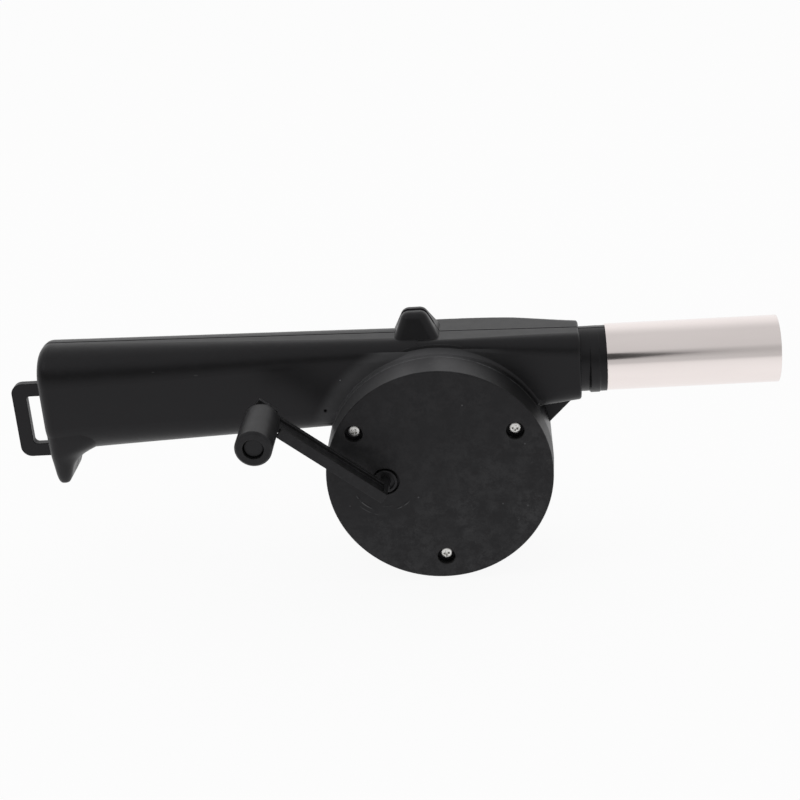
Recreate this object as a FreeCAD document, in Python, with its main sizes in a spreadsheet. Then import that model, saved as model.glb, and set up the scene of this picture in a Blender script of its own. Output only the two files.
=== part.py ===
"""Hand-cranked barbecue blower: a parametric document, one solid or group per piece.

Frame, in millimetres: +X runs along the nozzle, -Y faces the user's crank hand, +Z is up.
The parting plane of the two-half housing is Y = 0, and the origin is the middle of the grip.
Depths in front of the parting plane are positive numbers in the sheet and become -Y here.
"""
import FreeCAD, Part
import math
import os
import re

import Sketcher

Vector = FreeCAD.Vector
doc = FreeCAD.newDocument("hand_blower")
sheet = doc.addObject("Spreadsheet::Sheet", "Sizes")

# Driving dimensions: alias, value in millimetres or degrees or a count, and what it is
SIZES = [
    ("wall", 2.2, "housing wall"),
    ("run_gap", 0.05, "radial clearance of a running fit"),
    ("end_gap", 0.3, "axial clearance between turning faces"),
    ("sink", 0.5, "how deep a rib, boss or post runs into the wall it stands on"),
    ("play", 0.1, "axial clearance on each side of a washer"),
    ("drum_x", 80.0, "fan axis from the grip's middle, along X"),
    ("drum_z", -25.8, "fan axis height"),
    ("drum_r", 37.5, "outer radius of the housing's drum"),
    ("drum_back", 13.0, "rear face of the drum behind the parting plane"),
    ("drum_round", 2.5, "rounding of the drum's rear edge"),
    ("seam_front", 12.9, "front wall of the drum, in front of the parting plane"),
    ("drum_lip", 2.0, "how far the drum's rim, with the cover's seam, stands in front of that wall"),
    ("cover_front", 25.7, "front face of the cover"),
    ("cover_r", 37.0, "radius of the cover's front face"),
    ("cover_draft", 0.5, "how much wider the cover's skirt is at the seam"),
    ("cover_edge", 0.25, "chamfer of the cover's front edge"),
    ("cover_skin", 2.5, "thickness of the cover's face"),
    ("cover_wall", 1.8, "thickness of the cover's skirt"),
    ("shoulder", 2.4, "radius of the hollow between the drum and the body's front"),
    ("shoulder_low", -8.0, "lowest place of that hollow"),
    ("butt_x", -51.6, "butt end of the handle"),
    ("butt_top", 18.1, "handle top at the butt"),
    ("butt_bottom", -19.5, "handle bottom at the butt"),
    ("butt_depth", 13.5, "handle's half thickness at the butt"),
    ("butt_corner", 11.5, "front corner radius of the handle's section at the butt"),
    ("butt_back_corner", 13.0, "rear corner radius at the butt"),
    ("butt_round", 3.7, "rounding of the butt's edges"),
    ("neck_x", 76.0, "where the handle ends inside the lobe's foot"),
    ("neck_top", 15.2, "handle top at its end"),
    ("neck_bottom", -12.7, "handle bottom at its end"),
    ("neck_front", 11.1, "front half thickness at the handle's end"),
    ("neck_back", 12.8, "rear half thickness at the handle's end"),
    ("neck_corner", 5.6, "front corner radius at the handle's end"),
    ("neck_back_corner", 11.0, "rear corner radius at the handle's end"),
    ("duct_x", 75.0, "where the duct starts inside the lobe's foot"),
    ("duct_top", 15.15, "duct top at its start"),
    ("duct_bottom", -15.2, "duct bottom at its start"),
    ("duct_front", 10.35, "front half thickness at the duct's start"),
    ("duct_back", 12.3, "rear half thickness at the duct's start"),
    ("duct_corner", 2.3, "front corner radius at the duct's start"),
    ("duct_back_corner", 1.6, "rear corner radius at the duct's start"),
    ("bend_x", 106.0, "where the duct's rear starts to narrow"),
    ("bend_back", 12.6, "rear half thickness there"),
    ("bend_corner", 2.2, "rear corner radius there"),
    ("mouth_x", 127.5, "end face of the duct"),
    ("mouth_top", 13.9, "duct top at its end"),
    ("mouth_bottom", -9.1, "duct bottom at its end"),
    ("mouth_depth", 11.2, "half thickness at the duct's end"),
    ("mouth_corner", 6.2, "corner radius at the duct's end"),
    ("mouth_round", 0.9, "rounding of the duct's end edge"),
    ("throat_x", 88.0, "where the air way leaves the fan's chamber"),
    ("tube_z", 2.9, "height of the nozzle's axis"),
    ("collar_z", 2.4, "height of the collar's axis"),
    ("collar_neck", 2.6, "length of the neck between duct and bead"),
    ("bead_r", 11.0, "radius of the bead ring"),
    ("bead_width", 3.8, "width of the bead ring"),
    ("bead_round", 0.7, "rounding of the bead ring"),
    ("stop_r", 10.7, "radius of the ring between bead and tube"),
    ("spigot_show", 2.1, "width of that ring"),
    ("spigot_grip", 12.0, "spigot length inside the tube"),
    ("spigot_bore", 8.4, "radius of the air way through the spigot"),
    ("tube_r", 11.0, "outer radius of the nozzle tube"),
    ("tube_wall", 0.5, "wall of the nozzle tube over the spigot"),
    ("tube_step", 0.3, "how much thicker the rest of its wall is"),
    ("tube_length", 55.7, "length of the nozzle tube"),
    ("lobe_x", 74.7, "screw lobe on top of the drum"),
    ("lobe_low", 12.2, "height at which the lobe's foot starts"),
    ("lobe_high", 23.0, "top of the lobe"),
    ("lobe_foot", 17.6, "width of the lobe's foot"),
    ("lobe_tip", 7.2, "width of the lobe's top"),
    ("lobe_lean", 0.7, "how far the lobe's top lies towards the handle"),
    ("lobe_front", 8.6, "front depth of the lobe's foot"),
    ("lobe_front_tip", 3.8, "front depth of the lobe's top"),
    ("lobe_back", 11.0, "rear depth of the lobe's foot"),
    ("lobe_back_tip", 3.6, "rear depth of the lobe's top"),
    ("lobe_round", 3.0, "rounding of the lobe's edges"),
    ("hook_drop", -30.15, "tip of the finger hook"),
    ("loop_x", -64.4, "outer side of the strap loop"),
    ("loop_low", -23.2, "bottom of the strap loop"),
    ("loop_high", 3.5, "top of the strap loop"),
    ("loop_bar", 4.7, "width of the loop's outer bar"),
    ("loop_arm", 4.5, "width of the loop's upper and lower bars"),
    ("loop_thick", 2.8, "thickness of the loop plate"),
    ("loop_round", 3.6, "outer corner radius of the loop"),
    ("slot_round", 1.5, "corner radius of the strap slot"),
    ("gusset_low", -20.3, "lowest point of the gusset web, on the drum"),
    ("gusset_thick", 2.4, "thickness of the gusset web"),
    ("shaft_r", 1.5, "radius of the steel fan shaft"),
    ("shaft_rear", 6.2, "rear end of the fan shaft behind the parting plane"),
    ("bush_r", 3.0, "outer radius of the shaft bushes"),
    ("bush_long", 3.0, "length of the shaft bushes"),
    ("boss_wall", 1.3, "wall of a boss round a bush, an axle or a screw"),
    ("boss_long", 2.0, "how far the cover's inner bosses stand out"),
    ("gear_module", 0.6, "module of the gears"),
    ("pressure_angle", 20.0, "pressure angle of the gears, in degrees"),
    ("crank_teeth", 44, "teeth of the crank gear"),
    ("idler_teeth", 40, "teeth of the idler's large gear"),
    ("pinion_teeth", 12, "teeth of both pinions"),
    ("tooth_shift", 0.3, "profile shift, plus on the pinions and minus on the gears"),
    ("tooth_tip", 0.92, "addendum as a share of the module"),
    ("tooth_root", 1.25, "dedendum as a share of the module"),
    ("backlash", 0.12, "play between meshing teeth, along the pitch circle"),
    ("crank_gear_width", 3.6, "width of the crank gear"),
    ("idler_gear_width", 2.0, "width of the idler's large gear"),
    ("layer_gap", 0.8, "space between the two layers of gears"),
    ("pinion_over", 0.3, "how far the fan pinion is wider than the gear on each side"),
    ("axle_r", 1.25, "radius of the idler's steel axle"),
    ("gear_hub_r", 2.6, "radius of the hubs of the idler and the fan pinion"),
    ("washer_r", 2.5, "outer radius of the thrust washers"),
    ("washer_thick", 0.5, "thickness of the washers"),
    ("crank_dx", -17.8, "crank axis from the fan axis, along X"),
    ("crank_dz", -0.8, "crank axis from the fan axis, in height"),
    ("journal_r", 3.0, "radius of the crank's journal in the cover"),
    ("well_r", 4.7, "radius of the well round the crank's hub"),
    ("well_deep", 1.7, "depth of that well"),
    ("hub_r", 3.9, "outer radius of the crank's cupped hub"),
    ("hub_cup", 3.1, "inner radius of the cup"),
    ("cup_deep", 1.0, "depth of the cup"),
    ("neck_post_r", 1.75, "radius of the post between the cup and the arm"),
    ("square_r", 2.1, "radius of the drive end inside the crank gear"),
    ("square_flat", 1.6, "distance of the drive flats from the axis"),
    ("square_short", 0.2, "how much shorter than the gear the drive end is"),
    ("crank_washer_r", 3.5, "outer radius of the crank's washer"),
    ("crank_head_r", 2.2, "radius of the crank screw's head"),
    ("crank_head", 1.5, "height of the crank screw's head"),
    ("crank_screw_long", 7.5, "length of the crank screw's shank"),
    ("arm_angle", 141.6, "direction of the crank arm from +X, in degrees"),
    ("arm_throw", 46.1, "crank axis to knob axis"),
    ("arm_start", 0.5, "arm beyond the crank's axis, less than the flange's half width"),
    ("arm_front_end", 39.6, "where the arm's front flange stops"),
    ("arm_web_end", 42.0, "where the arm's web stops"),
    ("arm_width", 3.5, "width of the arm's flanges"),
    ("arm_web", 1.5, "thickness of the arm's web"),
    ("arm_flange", 1.5, "thickness of the arm's flanges"),
    ("arm_front", 38.0, "front face of the arm"),
    ("arm_back", 30.0, "rear face of the arm"),
    ("arm_tab", 6.6, "width of the tab under the knob"),
    ("arm_tab_out", 3.8, "length of the tab beyond the knob's axis"),
    ("pin_boss_r", 3.4, "radius of the boss at the pin's root"),
    ("knob_r", 5.8, "radius of the knob"),
    ("knob_base", 36.6, "base of the knob in front of the parting plane"),
    ("knob_length", 21.6, "length of the knob"),
    ("knob_edge", 0.6, "chamfer of the knob's ends"),
    ("pin_r", 2.5, "radius of the knob's pin"),
    ("pin_head", 3.2, "radius of the pin's snap head"),
    ("head_well", 3.3, "radius of the knob's front recess"),
    ("head_sunk", 1.2, "how far the pin's head lies below the knob's face"),
    ("head_long", 2.2, "length of the pin's head"),
    ("head_lead", 0.4, "lead-in chamfer of the pin's head"),
    ("post_r", 3.9, "radius of the posts that take the cover's screws"),
    ("screw_sunk", 2.0, "how far a cover screw's head is sunk"),
    ("screw_well", 3.0, "radius of the well over a cover screw"),
    ("cover_head_r", 1.95, "radius of a cover screw's head"),
    ("cover_head", 1.3, "height of a cover screw's head"),
    ("cover_screw_r", 1.05, "radius of a cover screw's and the crank screw's shank"),
    ("cover_screw", 13.0, "length of a cover screw's shank"),
    ("cover_one_dx", -26.7, "first cover screw from the fan axis, along X"),
    ("cover_one_dz", 16.6, "first cover screw from the fan axis, in height"),
    ("cover_two_dx", 25.2, "second cover screw, along X"),
    ("cover_two_dz", 15.1, "second cover screw, in height"),
    ("cover_three_dx", 0.5, "third cover screw, along X"),
    ("cover_three_dz", -29.3, "third cover screw, in height"),
    ("hole_spare", 0.5, "how much deeper a screw's hole is than its tip"),
    ("body_post_r", 3.2, "radius of the posts that take the housing's screws"),
    ("body_screw_r", 1.4, "radius of a housing screw's shank"),
    ("body_screw", 10.0, "length of a housing screw's shank"),
    ("body_head_r", 2.5, "radius of a housing screw's head"),
    ("body_head", 1.7, "height of a housing screw's head"),
    ("body_well", 2.9, "radius of the well over a housing screw"),
    ("body_seat", 5.5, "seat of the screw's head behind the parting plane"),
    ("butt_screw_x", -37.0, "housing screw near the butt"),
    ("grip_screw_x", 24.0, "housing screw in the handle's front part"),
    ("grip_screw_z", 0.0, "height of the handle's screws"),
    ("lobe_screw_z", 17.2, "height of the lobe's screw"),
    ("drum_screw_r", 32.4, "drum screws from the fan axis"),
    ("drum_screw_angle", 55.0, "drum screws to each side of the lowest point, in degrees"),
    ("recess_arm", 2.4, "length of a screw's cross recess"),
    ("recess_wide", 0.55, "width of a screw's cross recess"),
    ("recess_deep", 0.8, "depth of a screw's cross recess"),
    ("fan_r", 25.4, "radius of the impeller"),
    ("fan_inner", 12.5, "inner radius of the impeller's blades"),
    ("fan_blades", 12, "blades of the impeller"),
    ("fan_hub_r", 4.2, "radius of the impeller's hub"),
    ("fan_hub_back", 3.0, "rear end of the hub behind the parting plane"),
    ("fan_disc_set", 1.0, "how far the impeller's disc lies behind its hub's front"),
    ("fan_disc", 1.4, "thickness of the impeller's disc"),
    ("blade_deep", 15.0, "depth of the blades"),
    ("blade_thick", 1.2, "thickness of a blade"),
    ("nut_r", 3.1, "radius over the corners of the impeller's nut"),
    ("nut_thick", 2.2, "thickness of the impeller's nut"),
    ("intake_slots", 12, "slots of the air intake"),
    ("intake_width", 3.6, "width of an intake slot"),
    ("intake_in", 8.0, "inner radius of the intake slots"),
    ("intake_out", 22.0, "outer radius of the intake slots"),
]

for row, (alias, number, note) in enumerate(SIZES, start=1):
    sheet.set("A%d" % row, note)
    sheet.set("B%d" % row, str(number))
    sheet.setAlias("B%d" % row, alias)
doc.recompute()

ALIASES = re.compile(r"\b(" + "|".join(alias for alias, number, note in SIZES) + r")\b")

# Places and sizes that several pieces share, as expressions of the sheet. Depths in front
# of the parting plane are positive in these, as in the sheet.
CHAMBER_R = "(drum_r - wall)"
PLATE_BACK = "(seam_front - wall)"
RIM_FRONT = "(seam_front + drum_lip)"
BACK_INSIDE = "(drum_back - wall)"
COVER_INSIDE = "(cover_front - cover_skin)"
BOSS_END = "(cover_front - cover_skin - boss_long)"
GEAR_FRONT = "(%s - end_gap)" % BOSS_END
GEAR_BACK = "(%s - crank_gear_width)" % GEAR_FRONT
HUB_FRONT = "(%s - washer_thick - 2 * play)" % BOSS_END
HUB_BACK = "(seam_front + washer_thick + 2 * play)"
IDLER_FRONT = "(%s - layer_gap)" % GEAR_BACK
IDLER_BACK = "(%s - idler_gear_width)" % IDLER_FRONT
BUSH_BACK = "(seam_front - bush_long)"
WELL_FLOOR = "(cover_front - well_deep)"
HUB_CUP_FRONT = "(cover_front + end_gap)"
HEAD_SEAT = "(cover_front - screw_sunk - cover_head)"
SCREW_TIP = "(%s - cover_screw)" % HEAD_SEAT
KNOB_FRONT = "(knob_base + knob_length)"
HEAD_BACK = "(%s - head_sunk - head_long)" % KNOB_FRONT
FAN_FRONT = "(%s - end_gap)" % BUSH_BACK
DISC_FRONT = "(%s - fan_disc_set)" % FAN_FRONT
DISC_BACK = "(%s - fan_disc)" % DISC_FRONT
COLLAR_R = "(tube_r - tube_wall)"
BEAD_X = "(mouth_x + collar_neck)"
TUBE_X = "(mouth_x + collar_neck + bead_width + spigot_show)"
CRANK_X = "(drum_x + crank_dx)"
CRANK_Z = "(drum_z + crank_dz)"
IDLER_PITCH = "(gear_module * (crank_teeth + pinion_teeth) / 2)"
FAN_PITCH = "(gear_module * (idler_teeth + pinion_teeth) / 2)"
# The idler's axis is where the two pitch distances meet, above the line of the other axes
AXES_APART = "sqrt(crank_dx ^ 2 + crank_dz ^ 2)"
ALONG = "((%s ^ 2 - %s ^ 2 + %s ^ 2) / (2 * %s))" % (IDLER_PITCH, FAN_PITCH, AXES_APART, AXES_APART)
ABOVE = "sqrt(%s ^ 2 - %s ^ 2)" % (IDLER_PITCH, ALONG)
IDLER_X = "(drum_x + crank_dx + (%s * crank_dz - %s * crank_dx) / %s)" % (ABOVE, ALONG, AXES_APART)
IDLER_Z = "(drum_z + crank_dz - (%s * crank_dz + %s * crank_dx) / %s)" % (ALONG, ABOVE, AXES_APART)
COVER_SCREWS = [("drum_x + cover_%s_dx" % word, "drum_z + cover_%s_dz" % word)
                for word in ("one", "two", "three")]
BODY_SCREWS = [
    ("butt_screw_x", "grip_screw_z"),
    ("grip_screw_x", "grip_screw_z"),
    ("lobe_x", "lobe_screw_z"),
    ("drum_x - drum_screw_r * sin(drum_screw_angle)", "drum_z - drum_screw_r * cos(drum_screw_angle)"),
    ("drum_x + drum_screw_r * sin(drum_screw_angle)", "drum_z - drum_screw_r * cos(drum_screw_angle)"),
]


def bound(expression):
    """The expression with the sheet's name before each alias."""
    return ALIASES.sub(r"Sizes.\1", str(expression))


def value(expression):
    """The expression's number now."""
    result = sheet.evalExpression(bound(expression))
    return float(getattr(result, "Value", result))


def bind(item, **properties):
    """Ties properties of a document object to the sheet."""
    for name, expression in properties.items():
        item.setExpression(name, bound(expression))


def seat(item, x="0", y="0", z="0"):
    """Ties the object's place to the sheet."""
    item.setExpression(".Placement.Base.x", bound(x))
    item.setExpression(".Placement.Base.y", bound(y))
    item.setExpression(".Placement.Base.z", bound(z))
    return item


def shape_of(item):
    """Brings the document up to date and returns the object's shape."""
    doc.recompute()
    return item.Shape


# Primitives and booleans

def along_y(item):
    """Turns a primitive so that its own height runs along +Y."""
    item.Placement = FreeCAD.Placement(Vector(), FreeCAD.Rotation(Vector(1, 0, 0), -90))
    return item


def rod(name, radius, front, back, x="0", z="0"):
    """A cylinder along Y between two depths: front and back are Y values."""
    item = along_y(doc.addObject("Part::Cylinder", name))
    bind(item, Radius=radius, Height="(%s) - (%s)" % (back, front))
    return seat(item, x, front, z)


def rod_x(name, radius, start, end, z="tube_z"):
    """A cylinder along X between two X values."""
    item = doc.addObject("Part::Cylinder", name)
    item.Placement = FreeCAD.Placement(Vector(), FreeCAD.Rotation(Vector(0, 1, 0), 90))
    bind(item, Radius=radius, Height="(%s) - (%s)" % (end, start))
    return seat(item, start, "0", z)


def block(name, length, width, height, x="0", y="0", z="0"):
    """A box from its lowest corner."""
    item = doc.addObject("Part::Box", name)
    bind(item, Length=length, Width=width, Height=height)
    return seat(item, x, y, z)


def fuse(name, pieces):
    """Several solids made one."""
    item = doc.addObject("Part::MultiFuse", name)
    item.Shapes = pieces
    return item


def cut(name, base, *tools):
    """The base less every tool."""
    item = doc.addObject("Part::Cut", name)
    item.Base = base
    item.Tool = tools[0] if len(tools) == 1 else fuse(name + "_tools", list(tools))
    return item


def common(name, first, second):
    """What two solids share."""
    item = doc.addObject("Part::MultiCommon", name)
    item.Shapes = [first, second]
    return item


def group(name, pieces):
    """Separate solids that share a node."""
    item = doc.addObject("Part::Compound", name)
    item.Links = pieces
    return item


def rounded(name, base, radius, chosen):
    """Rounds the edges for which chosen(edge) is true.

    The radius is an expression, or a list of places along X with the radius at each of them.
    """
    places = [("0", radius)] if isinstance(radius, str) else radius
    places = [(value(x), value(size)) for x, size in places]

    def size_at(x):
        for (near_x, near), (far_x, far) in zip(places, places[1:]):
            if x < far_x:
                return near + (far - near) * max(0, x - near_x) / (far_x - near_x)
        return places[-1][1]

    sizes = []
    for number, edge in enumerate(shape_of(base).Edges, 1):
        if chosen(edge):
            sizes.append((number, size_at(edge.valueAt(edge.FirstParameter).x),
                          size_at(edge.valueAt(edge.LastParameter).x)))
    item = doc.addObject("Part::Fillet", name)
    item.Base = base
    item.Edges = sizes
    return item


# Sketched bodies

def new_body(name, x="0", y="0", z="0"):
    """A body placed by the sheet."""
    return seat(doc.addObject("PartDesign::Body", name), x, y, z)


def new_sketch(body, plane, name, offset="0"):
    """A sketch on one of the body's own origin planes, moved along its normal."""
    sketch = body.newObject("Sketcher::SketchObject", name)
    support = [item for item in body.Origin.OriginFeatures if item.Role == plane][0]
    sketch.AttachmentSupport = (support, [""])
    sketch.MapMode = "FlatFace"
    sketch.setExpression(".AttachmentOffset.Base.z", bound(offset))
    return sketch


def hold(sketch, kind, geometry, point, expression):
    """A dimension from the sketch's origin to a point, tied to the sheet."""
    rule = Sketcher.Constraint(kind, -1, 1, geometry, point, value(expression))
    number = sketch.addConstraint(rule)
    sketch.setExpression("Constraints[%d]" % number, bound(expression))


def outline(sketch, points):
    """A closed outline of straight lines through points given as two expressions each."""
    places = [Vector(value(across), value(up), 0) for across, up in points]
    count = len(points)
    for number in range(count):
        line = Part.LineSegment(places[number], places[(number + 1) % count])
        sketch.addGeometry(line, False)
    for number in range(count):
        nearby = (number + 1) % count
        sketch.addConstraint(Sketcher.Constraint("Coincident", number, 2, nearby, 1))
    for number, (across, up) in enumerate(points):
        hold(sketch, "DistanceX", number, 1, across)
        hold(sketch, "DistanceY", number, 1, up)


def turned(name, points, x="0", y="0", z="0"):
    """A piece turned about its own Y axis, from (radius, y) points."""
    body = new_body(name, x, y, z)
    profile = new_sketch(body, "XY_Plane", name + "_profile")
    outline(profile, points)
    turn = body.newObject("PartDesign::Revolution", name + "_turn")
    turn.Profile = profile
    turn.ReferenceAxis = (profile, ["V_Axis"])
    turn.Angle = 360
    return body


def plate(name, points, front, back, x="0", z="0"):
    """A flat piece: an outline in X and Z, between two Y values."""
    body = new_body(name, x, back, z)
    profile = new_sketch(body, "XZ_Plane", name + "_profile")
    outline(profile, points)
    pad = body.newObject("PartDesign::Pad", name + "_pad")
    pad.Profile = profile
    bind(pad, Length="(%s) - (%s)" % (back, front))
    return body


def turned_x(name, points, z="tube_z"):
    """A piece turned about an axis along X, from (x, radius) points."""
    body = new_body(name, "0", "0", z)
    profile = new_sketch(body, "XY_Plane", name + "_profile")
    outline(profile, points)
    turn = body.newObject("PartDesign::Revolution", name + "_turn")
    turn.Profile = profile
    turn.ReferenceAxis = (profile, ["H_Axis"])
    turn.Angle = 360
    return body


def standing(name, points, low, high):
    """A solid from an outline in X and Y, between two heights."""
    body = new_body(name, "0", "0", low)
    profile = new_sketch(body, "XY_Plane", name + "_profile")
    outline(profile, points)
    pad = body.newObject("PartDesign::Pad", name + "_pad")
    pad.Profile = profile
    bind(pad, Length="(%s) - (%s)" % (high, low))
    return body


def crosswise(name, points, start, end):
    """A solid from an outline in Y and Z, between two X values."""
    body = new_body(name, start, "0", "0")
    profile = new_sketch(body, "YZ_Plane", name + "_profile")
    outline(profile, points)
    pad = body.newObject("PartDesign::Pad", name + "_pad")
    pad.Profile = profile
    bind(pad, Length="(%s) - (%s)" % (end, start))
    return body


def slab(body, name, level, left, right, depth, near, far):
    """A sketched rectangle with round corners at a height, the same on both sides of Y = 0.

    The near radius rounds its corners at the left, the far one those at the right.
    """
    sketch = new_sketch(body, "XY_Plane", name, level)
    x0, x1, y, r, q = [value(e) for e in (left, right, depth, near, far)]
    Arc, Line, Z = Part.ArcOfCircle, Part.LineSegment, Vector(0, 0, 1)
    half = math.pi / 2

    def bow(x, depth, radius, start):
        return Arc(Part.Circle(Vector(x, depth, 0), Z, radius), start, start + half)

    sketch.addGeometry([
        Line(Vector(x0 + r, -y, 0), Vector(x1 - q, -y, 0)),
        bow(x1 - q, q - y, q, -half),
        Line(Vector(x1, q - y, 0), Vector(x1, y - q, 0)),
        bow(x1 - q, y - q, q, 0),
        Line(Vector(x1 - q, y, 0), Vector(x0 + r, y, 0)),
        bow(x0 + r, y - r, r, half),
        Line(Vector(x0, y - r, 0), Vector(x0, r - y, 0)),
        bow(x0 + r, r - y, r, 2 * half),
    ])
    for item in range(8):
        sketch.addConstraint(Sketcher.Constraint("Tangent", item, 2, (item + 1) % 8, 1))
    for item in (0, 4):
        sketch.addConstraint(Sketcher.Constraint("Horizontal", item))
    for item in (2, 6):
        sketch.addConstraint(Sketcher.Constraint("Vertical", item))
    for item, radius in ((1, far), (3, far), (5, near), (7, near)):
        number = sketch.addConstraint(Sketcher.Constraint("Radius", item, value(radius)))
        sketch.setExpression("Constraints[%d]" % number, bound(radius))
    hold(sketch, "DistanceX", 2, 1, right)
    hold(sketch, "DistanceX", 6, 1, left)
    hold(sketch, "DistanceY", 0, 1, "-(%s)" % depth)
    hold(sketch, "DistanceY", 4, 1, depth)
    return sketch


# Housing forms: both halves are cut from one closed form at the parting plane

def less(expression, amount="wall"):
    """The expression less a wall."""
    return "(%s) - (%s)" % (expression, amount)


def tapered(name, start, end, near, far, front_corners, back_corners, bend=None):
    """A bar along X that narrows: near and far are (top, bottom, front, back) at its ends.

    The corners are pairs of radii, at the start and at the end. A bend is a place along X with
    the rear depth and the rear corner radius there.
    """
    wide = "drum_r * 2"
    side = plate(name + "_side", [
        (start, near[0]), (start, near[1]), (end, far[1]), (end, far[0]),
    ], "-(%s)" % wide, wide)
    places = [(start, back_corners[0]), (end, back_corners[1])]
    back_line = [(end, far[3]), (start, near[3])]
    if bend:
        places.insert(1, (bend[0], bend[2]))
        back_line.insert(1, bend[:2])
    plan = standing(name + "_plan", [
        (start, "-(%s)" % near[2]), (end, "-(%s)" % far[2]),
    ] + back_line, "-(%s)" % wide, wide)
    bar = common(name + "_bar", side, plan)

    def front_edge(edge):
        return edge.BoundBox.XLength > 1 and edge.BoundBox.YMax < 0

    def back_edge(edge):
        return edge.BoundBox.XLength > 1 and edge.BoundBox.YMin > 0

    front_rounded = rounded(name + "_front", bar, [(start, front_corners[0]), (end, front_corners[1])],
                            front_edge)
    return rounded(name, front_rounded, places, back_edge)


handle_bar = tapered(
    "handle_form", "butt_x", "neck_x",
    ("butt_top", "butt_bottom", "butt_depth", "butt_depth"),
    ("neck_top", "neck_bottom", "neck_front", "neck_back"),
    ("butt_corner", "neck_corner"), ("butt_back_corner", "neck_back_corner"))
BUTT = value("butt_x")
handle = rounded("handle", handle_bar, "butt_round", lambda edge: edge.BoundBox.XMax < BUTT + 0.01)
handle_room = tapered(
    "handle_room", "butt_x + wall", "neck_x",
    (less("butt_top"), "butt_bottom + wall", less("butt_depth"), less("butt_depth")),
    (less("neck_top"), "neck_bottom + wall", less("neck_front"), less("neck_back")),
    (less("butt_corner"), less("neck_corner")), (less("butt_back_corner"), less("neck_back_corner")))

duct_bar = tapered(
    "duct_form", "duct_x", "mouth_x",
    ("duct_top", "duct_bottom", "duct_front", "duct_back"),
    ("mouth_top", "mouth_bottom", "mouth_depth", "mouth_depth"),
    ("duct_corner", "mouth_corner"), ("duct_back_corner", "mouth_corner"),
    ("bend_x", "bend_back", "bend_corner"))
MOUTH = value("mouth_x")
duct = rounded("duct", duct_bar, "mouth_round", lambda edge: edge.BoundBox.XMin > MOUTH - 0.01)
duct_room = tapered(
    "duct_room", "throat_x", "mouth_x - wall",
    (less("duct_top", "wall * 1.3"), "duct_bottom + wall * 2", less("duct_front"), less("duct_back")),
    (less("mouth_top"), "mouth_bottom + wall", less("mouth_depth"), less("mouth_depth")),
    ("duct_back_corner", less("mouth_corner")), ("duct_back_corner", less("mouth_corner")))

drum_block = rod("drum_block", "drum_r", "-%s" % RIM_FRONT, "drum_back", "drum_x", "drum_z")
REAR = value("drum_back")
drum = rounded("drum", drum_block, "drum_round", lambda edge: edge.BoundBox.YMin > REAR - 0.01)
chamber = rod("chamber", CHAMBER_R, "-%s" % PLATE_BACK, BACK_INSIDE, "drum_x", "drum_z")
rim_room = rod("rim_room", "cover_r + cover_draft - cover_wall", "-(%s + sink)" % RIM_FRONT, "-seam_front",
               "drum_x", "drum_z")
drum_inside = rod("drum_inside", "drum_r", "-seam_front", "drum_back", "drum_x", "drum_z")
handle_hollow = cut("handle_hollow", handle_room, drum_inside)

lobe_side = plate("lobe_side", [
    ("lobe_x - lobe_foot / 2", "lobe_low"),
    ("lobe_x + lobe_foot / 2", "lobe_low"),
    ("lobe_x - lobe_lean + lobe_tip / 2", "lobe_high"),
    ("lobe_x - lobe_lean - lobe_tip / 2", "lobe_high"),
], "-drum_r", "drum_r")
lobe_end = crosswise("lobe_end", [
    ("-lobe_front", "lobe_low"),
    ("lobe_back", "lobe_low"),
    ("lobe_back_tip", "lobe_high"),
    ("-lobe_front_tip", "lobe_high"),
], "drum_x - drum_r", "drum_x + drum_r")
lobe_block = common("lobe_block", lobe_side, lobe_end)
FOOT = value("lobe_low")
TOP = value("lobe_high")
lobe_sides = rounded("lobe_sides", lobe_block, "lobe_round",
                     lambda edge: edge.BoundBox.ZMin < FOOT + 0.01 and edge.BoundBox.ZMax > FOOT + 0.1)
lobe = rounded("lobe", lobe_sides, "lobe_round", lambda edge: edge.BoundBox.ZMin > TOP - 0.01)

# The hook flares out of the handle's end: its height, left and right ends, half thickness, and the
# rounding of its left and right corners there, from the tip upwards
HOOK_LEVELS = [
    ("hook_drop", "butt_x + 1.3", "butt_x + 4.4", "8.0", "1.4", "1.4"),
    ("hook_drop + 1.4", "butt_x + 0.7", "butt_x + 5.3", "9.0", "2.2", "2.2"),
    ("-26", "butt_x + 0.5", "butt_x + 6.2", "9.9", "2.4", "2.6"),
    ("-22.5", "butt_x + 0.3", "butt_x + 8.0", "10.9", "2.9", "4.6"),
    ("-19.5", "butt_x + 0.15", "butt_x + 12.5", "11.8", "3.3", "8.8"),
    ("-16", "butt_x + 0.1", "butt_x + 20", "12.45", "3.6", "11.5"),
    ("-11.5", "butt_x + 0.1", "butt_x + 24", "12.9", "3.7", "12.5"),
    ("-6.5", "butt_x + 0.2", "butt_x + 27", "12.9", "3.7", "12.5"),
]
hook = new_body("hook")
hook_slabs = [slab(hook, "hook_slab_%d" % number, *level)
              for number, level in enumerate(HOOK_LEVELS, 1)]
hook_loft = hook.newObject("PartDesign::AdditiveLoft", "hook_loft")
hook_loft.Profile = hook_slabs[0]
hook_loft.Sections = hook_slabs[1:]

collar = turned_x("collar", [
    (less("mouth_x"), "0"),
    (TUBE_X, "0"),
    (TUBE_X, "stop_r"),
    (BEAD_X + " + bead_width", "stop_r"),
    (BEAD_X + " + bead_width - bead_round / 2", "bead_r"),
    (BEAD_X + " + bead_round", "bead_r"),
    (BEAD_X, "bead_r - bead_round"),
    (BEAD_X, COLLAR_R),
    (less("mouth_x"), COLLAR_R),
], "collar_z")
spigot = rod_x("spigot", COLLAR_R, "mouth_x", TUBE_X + " + spigot_grip")
bore = rod_x("bore", "spigot_bore", "mouth_x - wall * 2", TUBE_X + " + spigot_grip + sink")

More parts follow.
